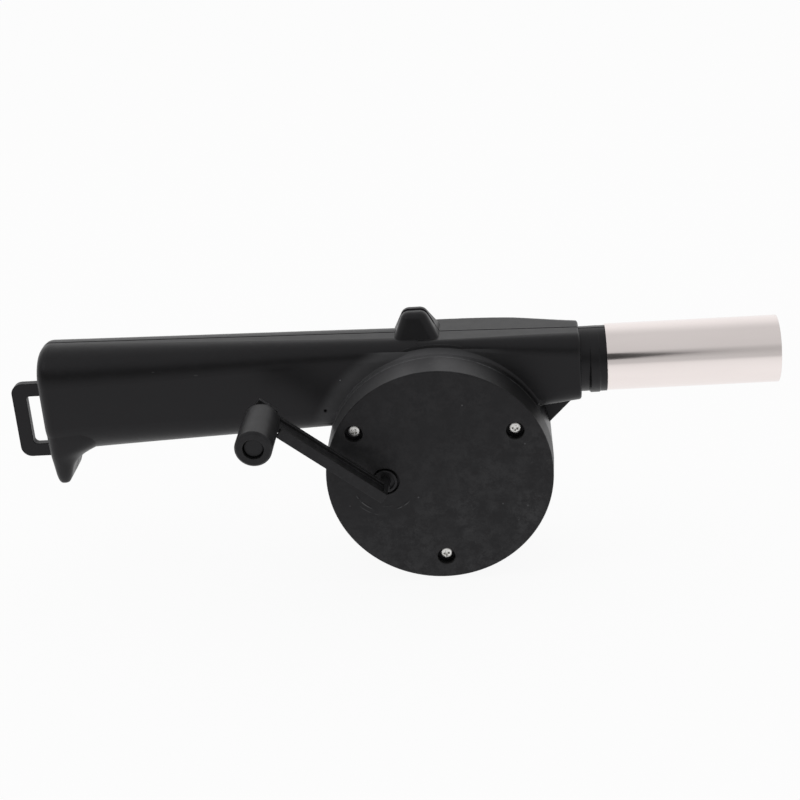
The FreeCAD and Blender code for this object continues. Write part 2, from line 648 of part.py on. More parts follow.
form = fuse("form", [handle, duct, drum, lobe, hook, collar, spigot])
hollow = fuse("hollow", [handle_hollow, duct_room, chamber, rim_room, bore])
shell = cut("shell", form, hollow)
front_space = block("front_space", "drum_x * 4", "drum_r * 2", "drum_x * 3", "-drum_x * 1.5", "-drum_r * 2",
                    "-drum_x * 1.5")
rear_space = block("rear_space", "drum_x * 4", "drum_r * 2", "drum_x * 3", "-drum_x * 1.5", "0",
                   "-drum_x * 1.5")
front_shell = common("front_shell", shell, front_space)
rear_shell = common("rear_shell", shell, rear_space)

# Hollow shoulder where the drum stands out of the body's front
shoulder_ring = rod("shoulder_ring", "drum_r + shoulder", "-(duct_front + shoulder)", "-(duct_front - sink)",
                    "drum_x", "drum_z")
shoulder_scoop = along_y(doc.addObject("Part::Torus", "shoulder_scoop"))
bind(shoulder_scoop, Radius1="drum_r + shoulder", Radius2="shoulder")
seat(shoulder_scoop, "drum_x", "-(duct_front + shoulder)", "drum_z")
shoulder_core = rod("shoulder_core", CHAMBER_R + " + sink", "-%s" % RIM_FRONT, "sink", "drum_x", "drum_z")
shoulder_bent = cut("shoulder_bent", shoulder_ring, shoulder_scoop, shoulder_core)
shoulder_area = plate("shoulder_area", [
    ("drum_x - drum_r", "shoulder_low"),
    ("mouth_x - mouth_corner", "shoulder_low"),
    ("mouth_x - mouth_corner", "mouth_top - mouth_corner / 3"),
    ("duct_x", "duct_top - sink / 2"),
    ("drum_x - drum_r", "duct_top - neck_corner"),
], "-%s" % RIM_FRONT, "0")
shoulder_hollow = common("shoulder_hollow", shoulder_bent, shoulder_area)

# Front housing: partition, bosses and posts
front_bosses = [
    rod("bush_boss", "bush_r + boss_wall", "-(%s + sink)" % PLATE_BACK, "-%s" % BUSH_BACK,
        "drum_x", "drum_z"),
    rod("axle_boss", "axle_r + boss_wall", "-(%s + sink)" % PLATE_BACK, "-%s" % BUSH_BACK,
        IDLER_X, IDLER_Z),
    rod("butt_post", "body_post_r", "-(butt_depth - wall / 2)", "0", *BODY_SCREWS[0]),
    rod("grip_post", "body_post_r", "-(neck_front - sink / 2)", "0", *BODY_SCREWS[1]),
]
for number, (x, z) in enumerate(BODY_SCREWS[3:], 1):
    front_bosses.append(rod("drum_post_%d" % number, "body_post_r", "-(%s + sink)" % PLATE_BACK, "0", x, z))
for number, (x, z) in enumerate(COVER_SCREWS, 1):
    front_bosses.append(rod("cover_boss_%d" % number, "cover_screw_r + boss_wall",
                            "-(%s + sink)" % PLATE_BACK, "-(%s - hole_spare - boss_wall)" % SCREW_TIP, x, z))
front_holes = [
    rod("bush_seat", "bush_r", "-(seam_front + sink)", "-(%s - sink)" % BUSH_BACK, "drum_x", "drum_z"),
    rod("axle_seat", "axle_r", "-(seam_front + sink)", "-(%s + sink)" % PLATE_BACK, IDLER_X, IDLER_Z),
]
for number, (x, z) in enumerate(BODY_SCREWS, 1):
    front_holes.append(rod("front_hole_%d" % number, "body_screw_r + run_gap",
                           "body_seat - body_screw - hole_spare", "sink", x, z))
for number, (x, z) in enumerate(COVER_SCREWS, 1):
    front_holes.append(rod("plate_hole_%d" % number, "cover_screw_r + run_gap",
                           "-(seam_front + sink)", "-(%s - hole_spare)" % SCREW_TIP, x, z))
front_whole = fuse("front_whole", [front_shell, shoulder_hollow] + front_bosses)
front_housing = cut("front_housing", front_whole, *front_holes)

# Rear housing: posts, strap loop, gusset web and air intake
rear_posts = []
for number, (x, z) in enumerate(BODY_SCREWS, 1):
    if number == 3:
        continue
    rear_posts.append(rod("rear_post_%d" % number, "body_post_r", "0", "body_seat", x, z))
    rear_posts.append(rod("rear_cup_%d" % number, "body_well + boss_wall", "body_seat - wall",
                          "drum_back - wall / 2", x, z))
loop_blank = plate("loop_blank", [
    ("loop_x", "loop_low"),
    ("butt_x + sink", "loop_low"),
    ("butt_x + sink", "loop_high"),
    ("loop_x", "loop_high"),
], "0", "loop_thick")
LOOP = value("loop_x")
loop_plate = rounded("loop_plate", loop_blank, "loop_round",
                     lambda edge: edge.BoundBox.XMax < LOOP + 0.01 and edge.BoundBox.YLength > 1)
slot_blank = plate("slot_blank", [
    ("loop_x + loop_bar", "loop_low + loop_arm"),
    ("butt_x", "loop_low + loop_arm"),
    ("butt_x", "loop_high - loop_arm"),
    ("loop_x + loop_bar", "loop_high - loop_arm"),
], "-sink", "loop_thick + sink")
slot = rounded("slot", slot_blank, "slot_round", lambda edge: edge.BoundBox.YLength > 1)
loop = cut("loop", loop_plate, slot)
gusset = plate("gusset", [
    ("mouth_x - sink / 5 - (mouth_bottom - gusset_low)", "gusset_low"),
    ("mouth_x - sink / 5", "mouth_bottom + sink / 5"),
    ("mouth_x - wall * 3.4", "mouth_bottom + sink / 5"),
    ("drum_x + drum_r - wall * 2.3", "mouth_bottom - sink * 1.8"),
], "0", "gusset_thick")
intake_bars = []
for number in range(int(value("intake_slots")) // 2):
    bar = doc.addObject("Part::Box", "intake_bar_%d" % (number + 1))
    bar.Placement = FreeCAD.Placement(Vector(), FreeCAD.Rotation(Vector(0, 1, 0), 30))
    bind(bar, Length="drum_r * 2", Width="wall + sink * 2", Height="intake_width")
    turn = "%d * 360 / intake_slots + 180 / intake_slots" % number
    bar.setExpression(".Placement.Rotation.Angle", bound(turn))
    seat(bar, "drum_x - drum_r * cos(%s) - intake_width / 2 * sin(%s)" % (turn, turn),
         BACK_INSIDE + " - sink",
         "drum_z + drum_r * sin(%s) - intake_width / 2 * cos(%s)" % (turn, turn))
    intake_bars.append(bar)
intake_star = fuse("intake_star", intake_bars)
intake_middle = rod("intake_middle", "intake_in", "0", "drum_back * 2", "drum_x", "drum_z")
intake_round = rod("intake_round", "intake_out", "0", "drum_back * 2", "drum_x", "drum_z")
intake_arms = cut("intake_arms", intake_star, intake_middle)
intake = common("intake", intake_arms, intake_round)
rear_holes = [intake]
for number, (x, z) in enumerate(BODY_SCREWS, 1):
    rear_holes.append(rod("rear_hole_%d" % number, "body_screw_r + run_gap", "-sink", "body_seat + sink", x, z))
    rear_holes.append(rod("rear_well_%d" % number, "body_well", "body_seat", "drum_back + wall", x, z))
rear_whole = fuse("rear_whole", [rear_shell, loop, gusset] + rear_posts)
rear_housing = cut("rear_housing", rear_whole, *rear_holes)

# Drum cover: a deep cup with inner bosses and posts
cover_cup = turned("cover_cup", [
    ("0", "-cover_front"),
    ("cover_r - cover_edge", "-cover_front"),
    ("cover_r", "-(cover_front - cover_edge)"),
    ("cover_r + cover_draft", "-%s" % RIM_FRONT),
    ("cover_r + cover_draft - cover_wall", "-%s" % RIM_FRONT),
    ("cover_r - cover_wall", "-%s" % COVER_INSIDE),
    ("0", "-%s" % COVER_INSIDE),
], "drum_x", "0", "drum_z")
cover_adds = [
    cover_cup,
    rod("cover_bush_boss", "bush_r + boss_wall", "-(%s + sink)" % COVER_INSIDE, "-%s" % BOSS_END,
        "drum_x", "drum_z"),
    rod("cover_crank_boss", "well_r + boss_wall", "-(%s + sink)" % COVER_INSIDE, "-%s" % BOSS_END,
        CRANK_X, CRANK_Z),
    rod("cover_axle_boss", "axle_r + boss_wall", "-(%s + sink)" % COVER_INSIDE, "-%s" % BOSS_END,
        IDLER_X, IDLER_Z),
]
cover_cuts = [
    rod("cover_bush_seat", "bush_r", "-(%s + bush_long)" % BOSS_END, "-(%s - sink)" % BOSS_END,
        "drum_x", "drum_z"),
    rod("cover_crank_well", "well_r", "-(cover_front + sink)", "-%s" % WELL_FLOOR, CRANK_X, CRANK_Z),
    rod("cover_crank_hole", "journal_r + run_gap", "-(cover_front + sink)", "-(%s - sink)" % BOSS_END,
        CRANK_X, CRANK_Z),
    rod("cover_axle_seat", "axle_r", "-(%s + boss_long - boss_wall / 4)" % BOSS_END,
        "-(%s - sink)" % BOSS_END, IDLER_X, IDLER_Z),
]
for number, (x, z) in enumerate(COVER_SCREWS, 1):
    cover_adds.append(rod("cover_post_%d" % number, "post_r", "-(%s + sink)" % COVER_INSIDE,
                          "-seam_front", x, z))
    cover_cuts.append(rod("cover_well_%d" % number, "screw_well", "-(cover_front + sink)",
                          "-%s" % HEAD_SEAT, x, z))
    cover_cuts.append(rod("cover_hole_%d" % number, "cover_screw_r + run_gap", "-(cover_front + sink)",
                          "-(seam_front - sink)", x, z))
cover_whole = fuse("cover_whole", cover_adds)
drum_cover = cut("drum_cover", cover_whole, *cover_cuts)


# Screws

def screw(name, head_r, head, shank_r, shank, seat_y, side, x, z):
    """A pan head screw with a cross recess; side is -1 when its head points to the front."""
    if side < 0:
        head_part = rod(name + "_head", head_r, "%s - %s" % (seat_y, head), seat_y, x, z)
        shank_part = rod(name + "_shank", shank_r, "%s - sink" % seat_y, "%s + %s" % (seat_y, shank), x, z)
        top = "%s - %s" % (seat_y, head)
    else:
        head_part = rod(name + "_head", head_r, seat_y, "%s + %s" % (seat_y, head), x, z)
        shank_part = rod(name + "_shank", shank_r, "%s - %s" % (seat_y, shank), "%s + sink" % seat_y, x, z)
        top = "%s + %s - recess_deep" % (seat_y, head)
    whole = fuse(name + "_whole", [head_part, shank_part])
    long_bar = block(name + "_bar_a", "recess_arm", "recess_deep", "recess_wide",
                     "%s - recess_arm / 2" % x, top, "%s - recess_wide / 2" % z)
    short_bar = block(name + "_bar_b", "recess_wide", "recess_deep", "recess_arm",
                      "%s - recess_wide / 2" % x, top, "%s - recess_arm / 2" % z)
    return cut(name, whole, long_bar, short_bar)


cover_screws = group("cover_screws", [
    screw("cover_screw_%d" % number, "cover_head_r", "cover_head", "cover_screw_r", "cover_screw",
          "-%s" % HEAD_SEAT, -1, x, z)
    for number, (x, z) in enumerate(COVER_SCREWS, 1)])
housing_screws = group("housing_screws", [
    screw("housing_screw_%d" % number, "body_head_r", "body_head", "body_screw_r", "body_screw",
          "body_seat", 1, x, z)
    for number, (x, z) in enumerate(BODY_SCREWS, 1)])

# Nozzle tube
nozzle_tube = turned_x("nozzle_tube", [
    (TUBE_X, COLLAR_R),
    (TUBE_X + " + spigot_grip + sink", COLLAR_R),
    (TUBE_X + " + spigot_grip + sink", "tube_r - tube_wall - tube_step"),
    (TUBE_X + " + tube_length", "tube_r - tube_wall - tube_step"),
    (TUBE_X + " + tube_length", "tube_r"),
    (TUBE_X, "tube_r"),
])

# Crank: the arm lies along its own X axis and is turned to its angle about the crank's axis
arm_pieces = [
    block("arm_front_flange", "arm_front_end + arm_start", "arm_flange", "arm_width",
          "-arm_start", "-arm_front", "-arm_width / 2"),
    block("arm_rear_flange", "arm_throw + arm_start", "arm_flange", "arm_width",
          "-arm_start", "-(arm_back + arm_flange)", "-arm_width / 2"),
    block("arm_web_plate", "arm_web_end + arm_start", "knob_base - end_gap - arm_back", "arm_web",
          "-arm_start", "-(knob_base - end_gap)", "-arm_web / 2"),
    block("arm_web_front", "arm_front_end + arm_start", "arm_front - arm_back", "arm_web",
          "-arm_start", "-arm_front", "-arm_web / 2"),
    block("arm_end_wall", "arm_flange", "arm_front - arm_back", "arm_width",
          "-arm_start", "-arm_front", "-arm_width / 2"),
    block("arm_tab_bar", "arm_tab / 2 + arm_tab_out", "arm_flange", "arm_tab",
          "arm_throw - arm_tab / 2", "-(arm_back + arm_flange)", "-arm_tab / 2"),
    rod("arm_pin_boss", "pin_boss_r", "-(knob_base - end_gap)", "-arm_back", "arm_throw"),
    rod("arm_pin", "pin_r", "-%s" % HEAD_BACK, "-arm_back", "arm_throw"),
    turned("arm_pin_head", [
        ("0", "-(%s + head_long)" % HEAD_BACK),
        ("pin_head - head_lead", "-(%s + head_long)" % HEAD_BACK),
        ("pin_head", "-(%s + head_long - head_lead)" % HEAD_BACK),
        ("pin_head", "-%s" % HEAD_BACK),
        ("0", "-(%s - sink)" % HEAD_BACK),
    ], "arm_throw"),
    rod("arm_post", "neck_post_r", "-(arm_back + sink)", "-(cover_front - sink * 2)"),
    rod("arm_journal", "journal_r", "-(%s + end_gap + sink)" % WELL_FLOOR, "-%s" % GEAR_FRONT),
]
hub_disc = rod("hub_disc", "hub_r", "-%s" % HUB_CUP_FRONT, "-(%s + end_gap)" % WELL_FLOOR)
hub_hollow = rod("hub_hollow", "hub_cup", "-(%s + sink)" % HUB_CUP_FRONT, "-(%s - cup_deep)" % HUB_CUP_FRONT)
arm_pieces.append(cut("hub_ring", hub_disc, hub_hollow))
drive_rod = rod("drive_rod", "square_r", "-(%s + sink)" % GEAR_FRONT, "-(%s + square_short)" % GEAR_BACK)
drive_flat = block("drive_flat", "square_r * 2", "crank_gear_width + 2 * sink", "square_flat * 2",
                   "-square_r", "-(%s + sink)" % GEAR_FRONT, "-square_flat")
arm_pieces.append(common("drive_end", drive_rod, drive_flat))
arm_whole = fuse("arm_whole", arm_pieces)
arm_screw_hole = rod("arm_screw_hole", "cover_screw_r + run_gap",
                     "-(%s + crank_screw_long)" % GEAR_BACK, "-(%s - sink)" % GEAR_BACK)
crank_arm = cut("crank_arm", arm_whole, arm_screw_hole)


def to_crank(item):
    """Seats a piece made about its own Y axis on the crank's axis, turned to the arm's angle."""
    item.Placement = FreeCAD.Placement(Vector(), FreeCAD.Rotation(Vector(0, -1, 0), 90))
    item.setExpression(".Placement.Rotation.Angle", bound("arm_angle"))
    return seat(item, CRANK_X, "0", CRANK_Z)


to_crank(crank_arm)
KNOB_X = CRANK_X + " + arm_throw * cos(arm_angle)"
KNOB_Z = CRANK_Z + " + arm_throw * sin(arm_angle)"
crank_knob = turned("crank_knob", [
    ("pin_r + run_gap", "-knob_base"),
    ("pin_r + run_gap", "-(%s - end_gap)" % HEAD_BACK),
    ("head_well", "-(%s - end_gap)" % HEAD_BACK),
    ("head_well", "-%s" % KNOB_FRONT),
    ("knob_r - knob_edge", "-%s" % KNOB_FRONT),
    ("knob_r", "-(%s - knob_edge)" % KNOB_FRONT),
    ("knob_r", "-(knob_base + knob_edge)"),
    ("knob_r - knob_edge", "-knob_base"),
], KNOB_X, "0", KNOB_Z)


def ring(name, outer, inner, front, back, x, z):
    """A plain ring along Y between two Y values."""
    return turned(name, [(inner, front), (outer, front), (outer, back), (inner, back)], x, "0", z)


crank_washer = ring("crank_washer", "crank_washer_r", "cover_screw_r", "-%s" % GEAR_BACK,
                    "-(%s - washer_thick)" % GEAR_BACK, CRANK_X, CRANK_Z)
crank_screw = screw("crank_screw", "crank_head_r", "crank_head", "cover_screw_r", "crank_screw_long",
                    "-(%s - washer_thick)" % GEAR_BACK, 1, CRANK_X, CRANK_Z)


# Gears: involute teeth of one module

def involute(angle):
    return math.tan(angle) - angle


def tooth_points(teeth, shift, phase):
    """One tooth's outline in polar form, as straight lines between points of its involutes."""
    module = value("gear_module")
    pressure = math.radians(value("pressure_angle"))
    pitch_r = module * teeth / 2
    base_r = pitch_r * math.cos(pressure)
    tip_r = pitch_r + module * (value("tooth_tip") + shift)
    root_r = pitch_r - module * (value("tooth_root") - shift)
    thick = module * (math.pi / 2 + 2 * shift * math.tan(pressure)) - value("backlash") / 2
    half = thick / (2 * pitch_r) + involute(pressure)
    start_r = max(base_r, root_r)
    steps = 5
    flank = [(root_r - value("sink"), half - involute(math.acos(min(1, base_r / start_r))))]
    for number in range(steps + 1):
        radius = start_r + (tip_r - start_r) * (number / steps) ** 1.5
        flank.append((radius, half - involute(math.acos(min(1, base_r / radius)))))
    polar = [(radius, -angle) for radius, angle in flank]
    polar += [(radius, angle) for radius, angle in reversed(flank)]
    return [("%.6f" % (radius * math.cos(phase + angle)), "%.6f" % (radius * math.sin(phase + angle)))
            for radius, angle in polar]


def gear(name, teeth_alias, shift_sign, phase, front, back, x, z):
    """A spur gear without a bore: a root disc, one tooth and a pattern of it."""
    teeth = int(value(teeth_alias))
    shift = shift_sign * value("tooth_shift")
    body = new_body(name, x, back, z)
    disc_sketch = new_sketch(body, "XZ_Plane", name + "_root")
    root = "gear_module * (%s / 2 - tooth_root + (%d) * tooth_shift)" % (teeth_alias, shift_sign)
    disc_sketch.addGeometry(Part.Circle(Vector(), Vector(0, 0, 1), value(root)), False)
    disc_sketch.addConstraint(Sketcher.Constraint("Coincident", 0, 3, -1, 1))
    number = disc_sketch.addConstraint(Sketcher.Constraint("Radius", 0, value(root)))
    disc_sketch.setExpression("Constraints[%d]" % number, bound(root))
    disc = body.newObject("PartDesign::Pad", name + "_disc")
    disc.Profile = disc_sketch
    bind(disc, Length="(%s) - (%s)" % (back, front))
    tooth_sketch = new_sketch(body, "XZ_Plane", name + "_tooth")
    outline(tooth_sketch, tooth_points(teeth, shift, phase))
    tooth = body.newObject("PartDesign::Pad", name + "_tooth_pad")
    tooth.Profile = tooth_sketch
    bind(tooth, Length="(%s) - (%s)" % (back, front))
    pattern = body.newObject("PartDesign::PolarPattern", name + "_teeth")
    pattern.Originals = [tooth]
    pattern.Axis = (disc_sketch, ["N_Axis"])
    pattern.Angle = 360
    bind(pattern, Occurrences=teeth_alias)
    body.Tip = pattern
    return body


def meshed(phase, teeth, direction, other_teeth):
    """The phase of a gear whose axis lies in a direction from a gear with a known phase."""
    gap = 0.5 + (phase - direction) * teeth / (2 * math.pi)
    return direction + math.pi - gap * 2 * math.pi / other_teeth


CRANK_TEETH = int(value("crank_teeth"))
IDLER_TEETH = int(value("idler_teeth"))
PINION_TEETH = int(value("pinion_teeth"))
to_idler = math.atan2(value(IDLER_Z) - value(CRANK_Z), value(IDLER_X) - value(CRANK_X))
to_fan = math.atan2(value("drum_z") - value(IDLER_Z), value("drum_x") - value(IDLER_X))
crank_blank = gear("crank_gear_blank", "crank_teeth", -1, 0.0, "-%s" % GEAR_FRONT, "-%s" % GEAR_BACK,
                   CRANK_X, CRANK_Z)
bore_rod = rod("gear_bore_rod", "square_r", "-(%s + sink)" % GEAR_FRONT, "-(%s - sink)" % GEAR_BACK)
bore_flat = block("gear_bore_flat", "square_r * 2", "crank_gear_width + 2 * sink", "square_flat * 2",
                  "-square_r", "-(%s + sink)" % GEAR_FRONT, "-square_flat")
gear_bore = to_crank(common("gear_bore", bore_rod, bore_flat))
crank_gear = cut("crank_gear", crank_blank, gear_bore)

idler_pinion = gear("idler_pinion", "pinion_teeth", 1, meshed(0.0, CRANK_TEETH, to_idler, PINION_TEETH),
                    "-%s" % HUB_FRONT, "-(%s - sink)" % IDLER_FRONT, IDLER_X, IDLER_Z)
idler_wheel = gear("idler_wheel", "idler_teeth", -1, 0.0, "-%s" % IDLER_FRONT, "-%s" % IDLER_BACK,
                   IDLER_X, IDLER_Z)
idler_hub = rod("idler_hub", "gear_hub_r", "-(%s + sink)" % IDLER_BACK, "-%s" % HUB_BACK, IDLER_X, IDLER_Z)
idler_whole = fuse("idler_whole", [idler_pinion, idler_wheel, idler_hub])
idler_bore = rod("idler_bore", "axle_r + run_gap", "-cover_front", "0", IDLER_X, IDLER_Z)
idler_gear = cut("idler_gear", idler_whole, idler_bore)

fan_teeth = gear("fan_teeth", "pinion_teeth", 1, meshed(0.0, IDLER_TEETH, to_fan, PINION_TEETH),
                 "-(%s + pinion_over)" % IDLER_FRONT, "-(%s - pinion_over)" % IDLER_BACK,
                 "drum_x", "drum_z")
fan_sleeve = rod("fan_sleeve", "gear_hub_r", "-%s" % HUB_FRONT, "-%s" % HUB_BACK, "drum_x", "drum_z")
fan_whole = fuse("fan_whole", [fan_teeth, fan_sleeve])
fan_bore = rod("fan_bore", "shaft_r", "-cover_front", "0", "drum_x", "drum_z")
fan_pinion = cut("fan_pinion", fan_whole, fan_bore)

# Shaft, axle, bushes and washers
fan_shaft = rod("fan_shaft", "shaft_r", "-(%s + bush_long - play)" % BOSS_END, "shaft_rear",
                "drum_x", "drum_z")
idler_axle = rod("idler_axle", "axle_r", "-(%s + boss_long - boss_wall / 2)" % BOSS_END,
                 "-(%s + sink)" % PLATE_BACK, IDLER_X, IDLER_Z)
cover_bush = ring("cover_bush", "bush_r", "shaft_r + run_gap", "-(%s + bush_long)" % BOSS_END,
                  "-%s" % BOSS_END, "drum_x", "drum_z")
partition_bush = ring("partition_bush", "bush_r", "shaft_r + run_gap", "-seam_front", "-%s" % BUSH_BACK,
                      "drum_x", "drum_z")
WASHER_PLACES = [
    ("front", "-(%s - play)" % BOSS_END, "-(%s - play - washer_thick)" % BOSS_END),
    ("rear", "-(seam_front + play + washer_thick)", "-(seam_front + play)"),
]
idler_washers = group("idler_washers", [
    ring("idler_washer_" + word, "washer_r", "axle_r + run_gap", front, back, IDLER_X, IDLER_Z)
    for word, front, back in WASHER_PLACES])
fan_washers = group("fan_washers", [
    ring("fan_washer_" + word, "washer_r", "shaft_r + run_gap", front, back, "drum_x", "drum_z")
    for word, front, back in WASHER_PLACES])

# Impeller with its washer and nut
wheel = turned("wheel", [
    ("shaft_r", "-%s" % FAN_FRONT),
    ("fan_hub_r", "-%s" % FAN_FRONT),
    ("fan_hub_r", "-%s" % DISC_FRONT),
    ("fan_r", "-%s" % DISC_FRONT),
    ("fan_r", "-%s" % DISC_BACK),
    ("fan_hub_r", "-%s" % DISC_BACK),
    ("fan_hub_r", "fan_hub_back"),
    ("shaft_r", "fan_hub_back"),
], "drum_x", "0", "drum_z")
blade_sketch = new_sketch(wheel, "XZ_Plane", "blade_outline", DISC_BACK + " + fan_disc / 2")
outline(blade_sketch, [
    ("fan_inner", "0"),
    ("fan_r - blade_thick / 2", "-fan_inner / 2"),
    ("fan_r - blade_thick / 2", "blade_thick - fan_inner / 2"),
    ("fan_inner", "blade_thick"),
])
blade = wheel.newObject("PartDesign::Pad", "blade")
blade.Profile = blade_sketch
blade.Reversed = True
bind(blade, Length="blade_deep + fan_disc / 2")
blades = wheel.newObject("PartDesign::PolarPattern", "blades")
blades.Originals = [blade]
blades.Axis = (blade_sketch, ["N_Axis"])
blades.Angle = 360
bind(blades, Occurrences="fan_blades")
wheel.Tip = blades
fan_limit = rod("fan_limit", "fan_r", "-drum_r", "drum_r", "drum_x", "drum_z")
impeller = common("impeller", wheel, fan_limit)
impeller_washer = ring("impeller_washer", "fan_hub_r", "shaft_r", "fan_hub_back",
                       "fan_hub_back + washer_thick", "drum_x", "drum_z")
nut_blank = plate("nut_blank", [
    ("nut_r * cos(%d)" % turn, "nut_r * sin(%d)" % turn) for turn in range(0, 360, 60)
], "fan_hub_back + washer_thick", "fan_hub_back + washer_thick + nut_thick", "drum_x", "drum_z")
nut_bore = rod("nut_bore", "shaft_r", "0", "drum_back", "drum_x", "drum_z")
impeller_nut = cut("impeller_nut", nut_blank, nut_bore)

PIECES = [
    ("front_housing", front_housing),
    ("rear_housing", rear_housing),
    ("drum_cover", drum_cover),
    ("cover_screws", cover_screws),
    ("housing_screws", housing_screws),
    ("nozzle_tube", nozzle_tube),
    ("crank_arm", crank_arm),
    ("crank_knob", crank_knob),
    ("crank_gear", crank_gear),
    ("crank_screw", crank_screw),
    ("crank_washer", crank_washer),
    ("idler_gear", idler_gear),
    ("idler_axle", idler_axle),
    ("idler_washers", idler_washers),
    ("fan_pinion", fan_pinion),
    ("fan_shaft", fan_shaft),
    ("fan_washers", fan_washers),
    ("partition_bush", partition_bush),
    ("cover_bush", cover_bush),
    ("impeller", impeller),
    ("impeller_washer", impeller_washer),
    ("impeller_nut", impeller_nut),
]

doc.recompute()
for item in doc.Objects:
    if "Invalid" in item.State or "Error" in item.State:
        raise ValueError("not computed: %s %s" % (item.Name, item.State))
for label, item in PIECES:
    if item.Shape.isNull() or not item.Shape.isValid():
        raise ValueError("bad shape: %s" % label)
    item.Label = label
os.makedirs("parts", exist_ok=True)
for label, item in PIECES:
    item.Shape.exportStep("parts/%s.step" % label)
    box = item.Shape.BoundBox
    print("%-16s solids %d  X %.1f %.1f  Y %.1f %.1f  Z %.1f %.1f  volume %.0f" % (
        label, len(item.Shape.Solids), box.XMin, box.XMax, box.YMin, box.YMax, box.ZMin, box.ZMax,
        item.Shape.Volume))
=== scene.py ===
# %% [markdown]
# # A hand-cranked barbecue blower
# The real thing is a black moulded body: a straight handle that runs into a duct, with a round fan
# drum under the duct, a crank with a free knob on the drum's cover, and a straight metal nozzle.
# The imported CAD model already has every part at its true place, in metres, so this lesson dresses
# it: it sets up a small white studio, gives each part the finish of the real one, and makes the
# small fastenings and moulding marks again with more detail than the solids carry.

import math

import bpy
from mathutils import Matrix, Vector


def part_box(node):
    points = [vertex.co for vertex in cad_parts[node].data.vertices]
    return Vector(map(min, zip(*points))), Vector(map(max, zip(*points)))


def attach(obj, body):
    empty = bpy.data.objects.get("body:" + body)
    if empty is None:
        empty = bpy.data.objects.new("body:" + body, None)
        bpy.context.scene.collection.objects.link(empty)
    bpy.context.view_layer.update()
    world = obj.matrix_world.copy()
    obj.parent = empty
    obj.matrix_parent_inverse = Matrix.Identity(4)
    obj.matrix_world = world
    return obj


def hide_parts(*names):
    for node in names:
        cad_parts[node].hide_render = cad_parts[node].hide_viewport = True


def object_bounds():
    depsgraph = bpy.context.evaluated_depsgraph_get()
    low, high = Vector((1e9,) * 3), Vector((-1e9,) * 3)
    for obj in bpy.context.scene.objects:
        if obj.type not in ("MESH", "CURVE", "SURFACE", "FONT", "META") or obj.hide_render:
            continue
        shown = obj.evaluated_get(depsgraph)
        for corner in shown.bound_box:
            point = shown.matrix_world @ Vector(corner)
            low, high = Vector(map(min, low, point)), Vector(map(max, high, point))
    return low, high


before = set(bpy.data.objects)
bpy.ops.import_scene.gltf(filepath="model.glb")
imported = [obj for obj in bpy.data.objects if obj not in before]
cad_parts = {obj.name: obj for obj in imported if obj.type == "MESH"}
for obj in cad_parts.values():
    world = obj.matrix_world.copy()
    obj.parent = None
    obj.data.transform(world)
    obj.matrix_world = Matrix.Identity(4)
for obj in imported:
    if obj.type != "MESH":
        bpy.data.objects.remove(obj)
cad_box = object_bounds()
scene = bpy.context.scene
MM = 0.001

print("CAD box in mm:", [[round(v / MM, 1) for v in corner] for corner in cad_box])

# %% [markdown]
# ## The camera
# The photograph was taken from the crank side, about 23 degrees above the level of the table, with
# a fairly long lens, so the drum's face looks nearly round. A camera can be turned with Euler
# angles, but a matrix made of its right, up and back directions says exactly where it looks, and
# a roll is then one turn of the first two about the third.

# %% Place the camera
CAMERA_TURN = math.radians(4.29)
CAMERA_HEIGHT = math.radians(23.12)
CAMERA_ROLL = math.radians(-4.51)
CAMERA_DISTANCE = 0.53714
CAMERA_TARGET = Vector((0.0672, 0.0, -0.009))
LENS_MM = 72.0
SENSOR_MM = 36.0

back = Vector((
    math.sin(CAMERA_TURN) * math.cos(CAMERA_HEIGHT),
    -math.cos(CAMERA_TURN) * math.cos(CAMERA_HEIGHT),
    math.sin(CAMERA_HEIGHT),
))
level = Vector((math.cos(CAMERA_TURN), math.sin(CAMERA_TURN), 0.0))
upright = back.cross(level)
right = level * math.cos(CAMERA_ROLL) + upright * math.sin(CAMERA_ROLL)
up = upright * math.cos(CAMERA_ROLL) - level * math.sin(CAMERA_ROLL)

camera_data = bpy.data.cameras.new("photo_camera")
camera_data.lens = LENS_MM
camera_data.sensor_width = SENSOR_MM
camera = bpy.data.objects.new("photo_camera", camera_data)
scene.collection.objects.link(camera)
camera_place = Matrix((right, up, back)).transposed().to_4x4()
camera_place.translation = CAMERA_TARGET + back * CAMERA_DISTANCE
camera.matrix_world = camera_place
scene.camera = camera

print("camera at", [round(v, 3) for v in camera_place.translation])

# %% [markdown]
# ## Helpers for node trees
# Every material below is a small graph of nodes. Writing out each link by hand gets long, so
# helpers do it. One adds a node and fills its inputs, where a value may be a number, a colour or
# the output of another node, and one adds a Math node in a single line. Two more make the soft
# step and the mix of two colours that nearly every finish needs.

# %% Add nodes in one line
def node(tree, kind, inputs=None, **settings):
    """Add a node, set its properties, and fill or link its inputs by name or number."""
    made = tree.nodes.new(kind)
    for name, value in settings.items():
        setattr(made, name, value)
    for key, value in (inputs or {}).items():
        if isinstance(value, bpy.types.NodeSocket):
            tree.links.new(value, made.inputs[key])
        else:
            made.inputs[key].default_value = value
    return made


def calc(tree, operation, *values):
    """A Math node, and its result."""
    made = node(tree, "ShaderNodeMath", dict(enumerate(values)), operation=operation)
    return made.outputs[0]


def ramp(tree, value, low, high, smooth=True):
    """0 below the low value, 1 above the high one, and a soft rise between them."""
    made = node(tree, "ShaderNodeMapRange", {
        "Value": value, "From Min": low, "From Max": high, "To Min": 0.0, "To Max": 1.0,
    }, clamp=True)
    made.interpolation_type = "SMOOTHSTEP" if smooth else "LINEAR"
    return made.outputs[0]


def blend_colour(tree, share, first, second):
    """The first colour where the share is 0, the second where it is 1."""
    made = node(tree, "ShaderNodeMix", {0: share, 6: first, 7: second}, data_type="RGBA")
    return made.outputs[2]


print("node helpers ready")

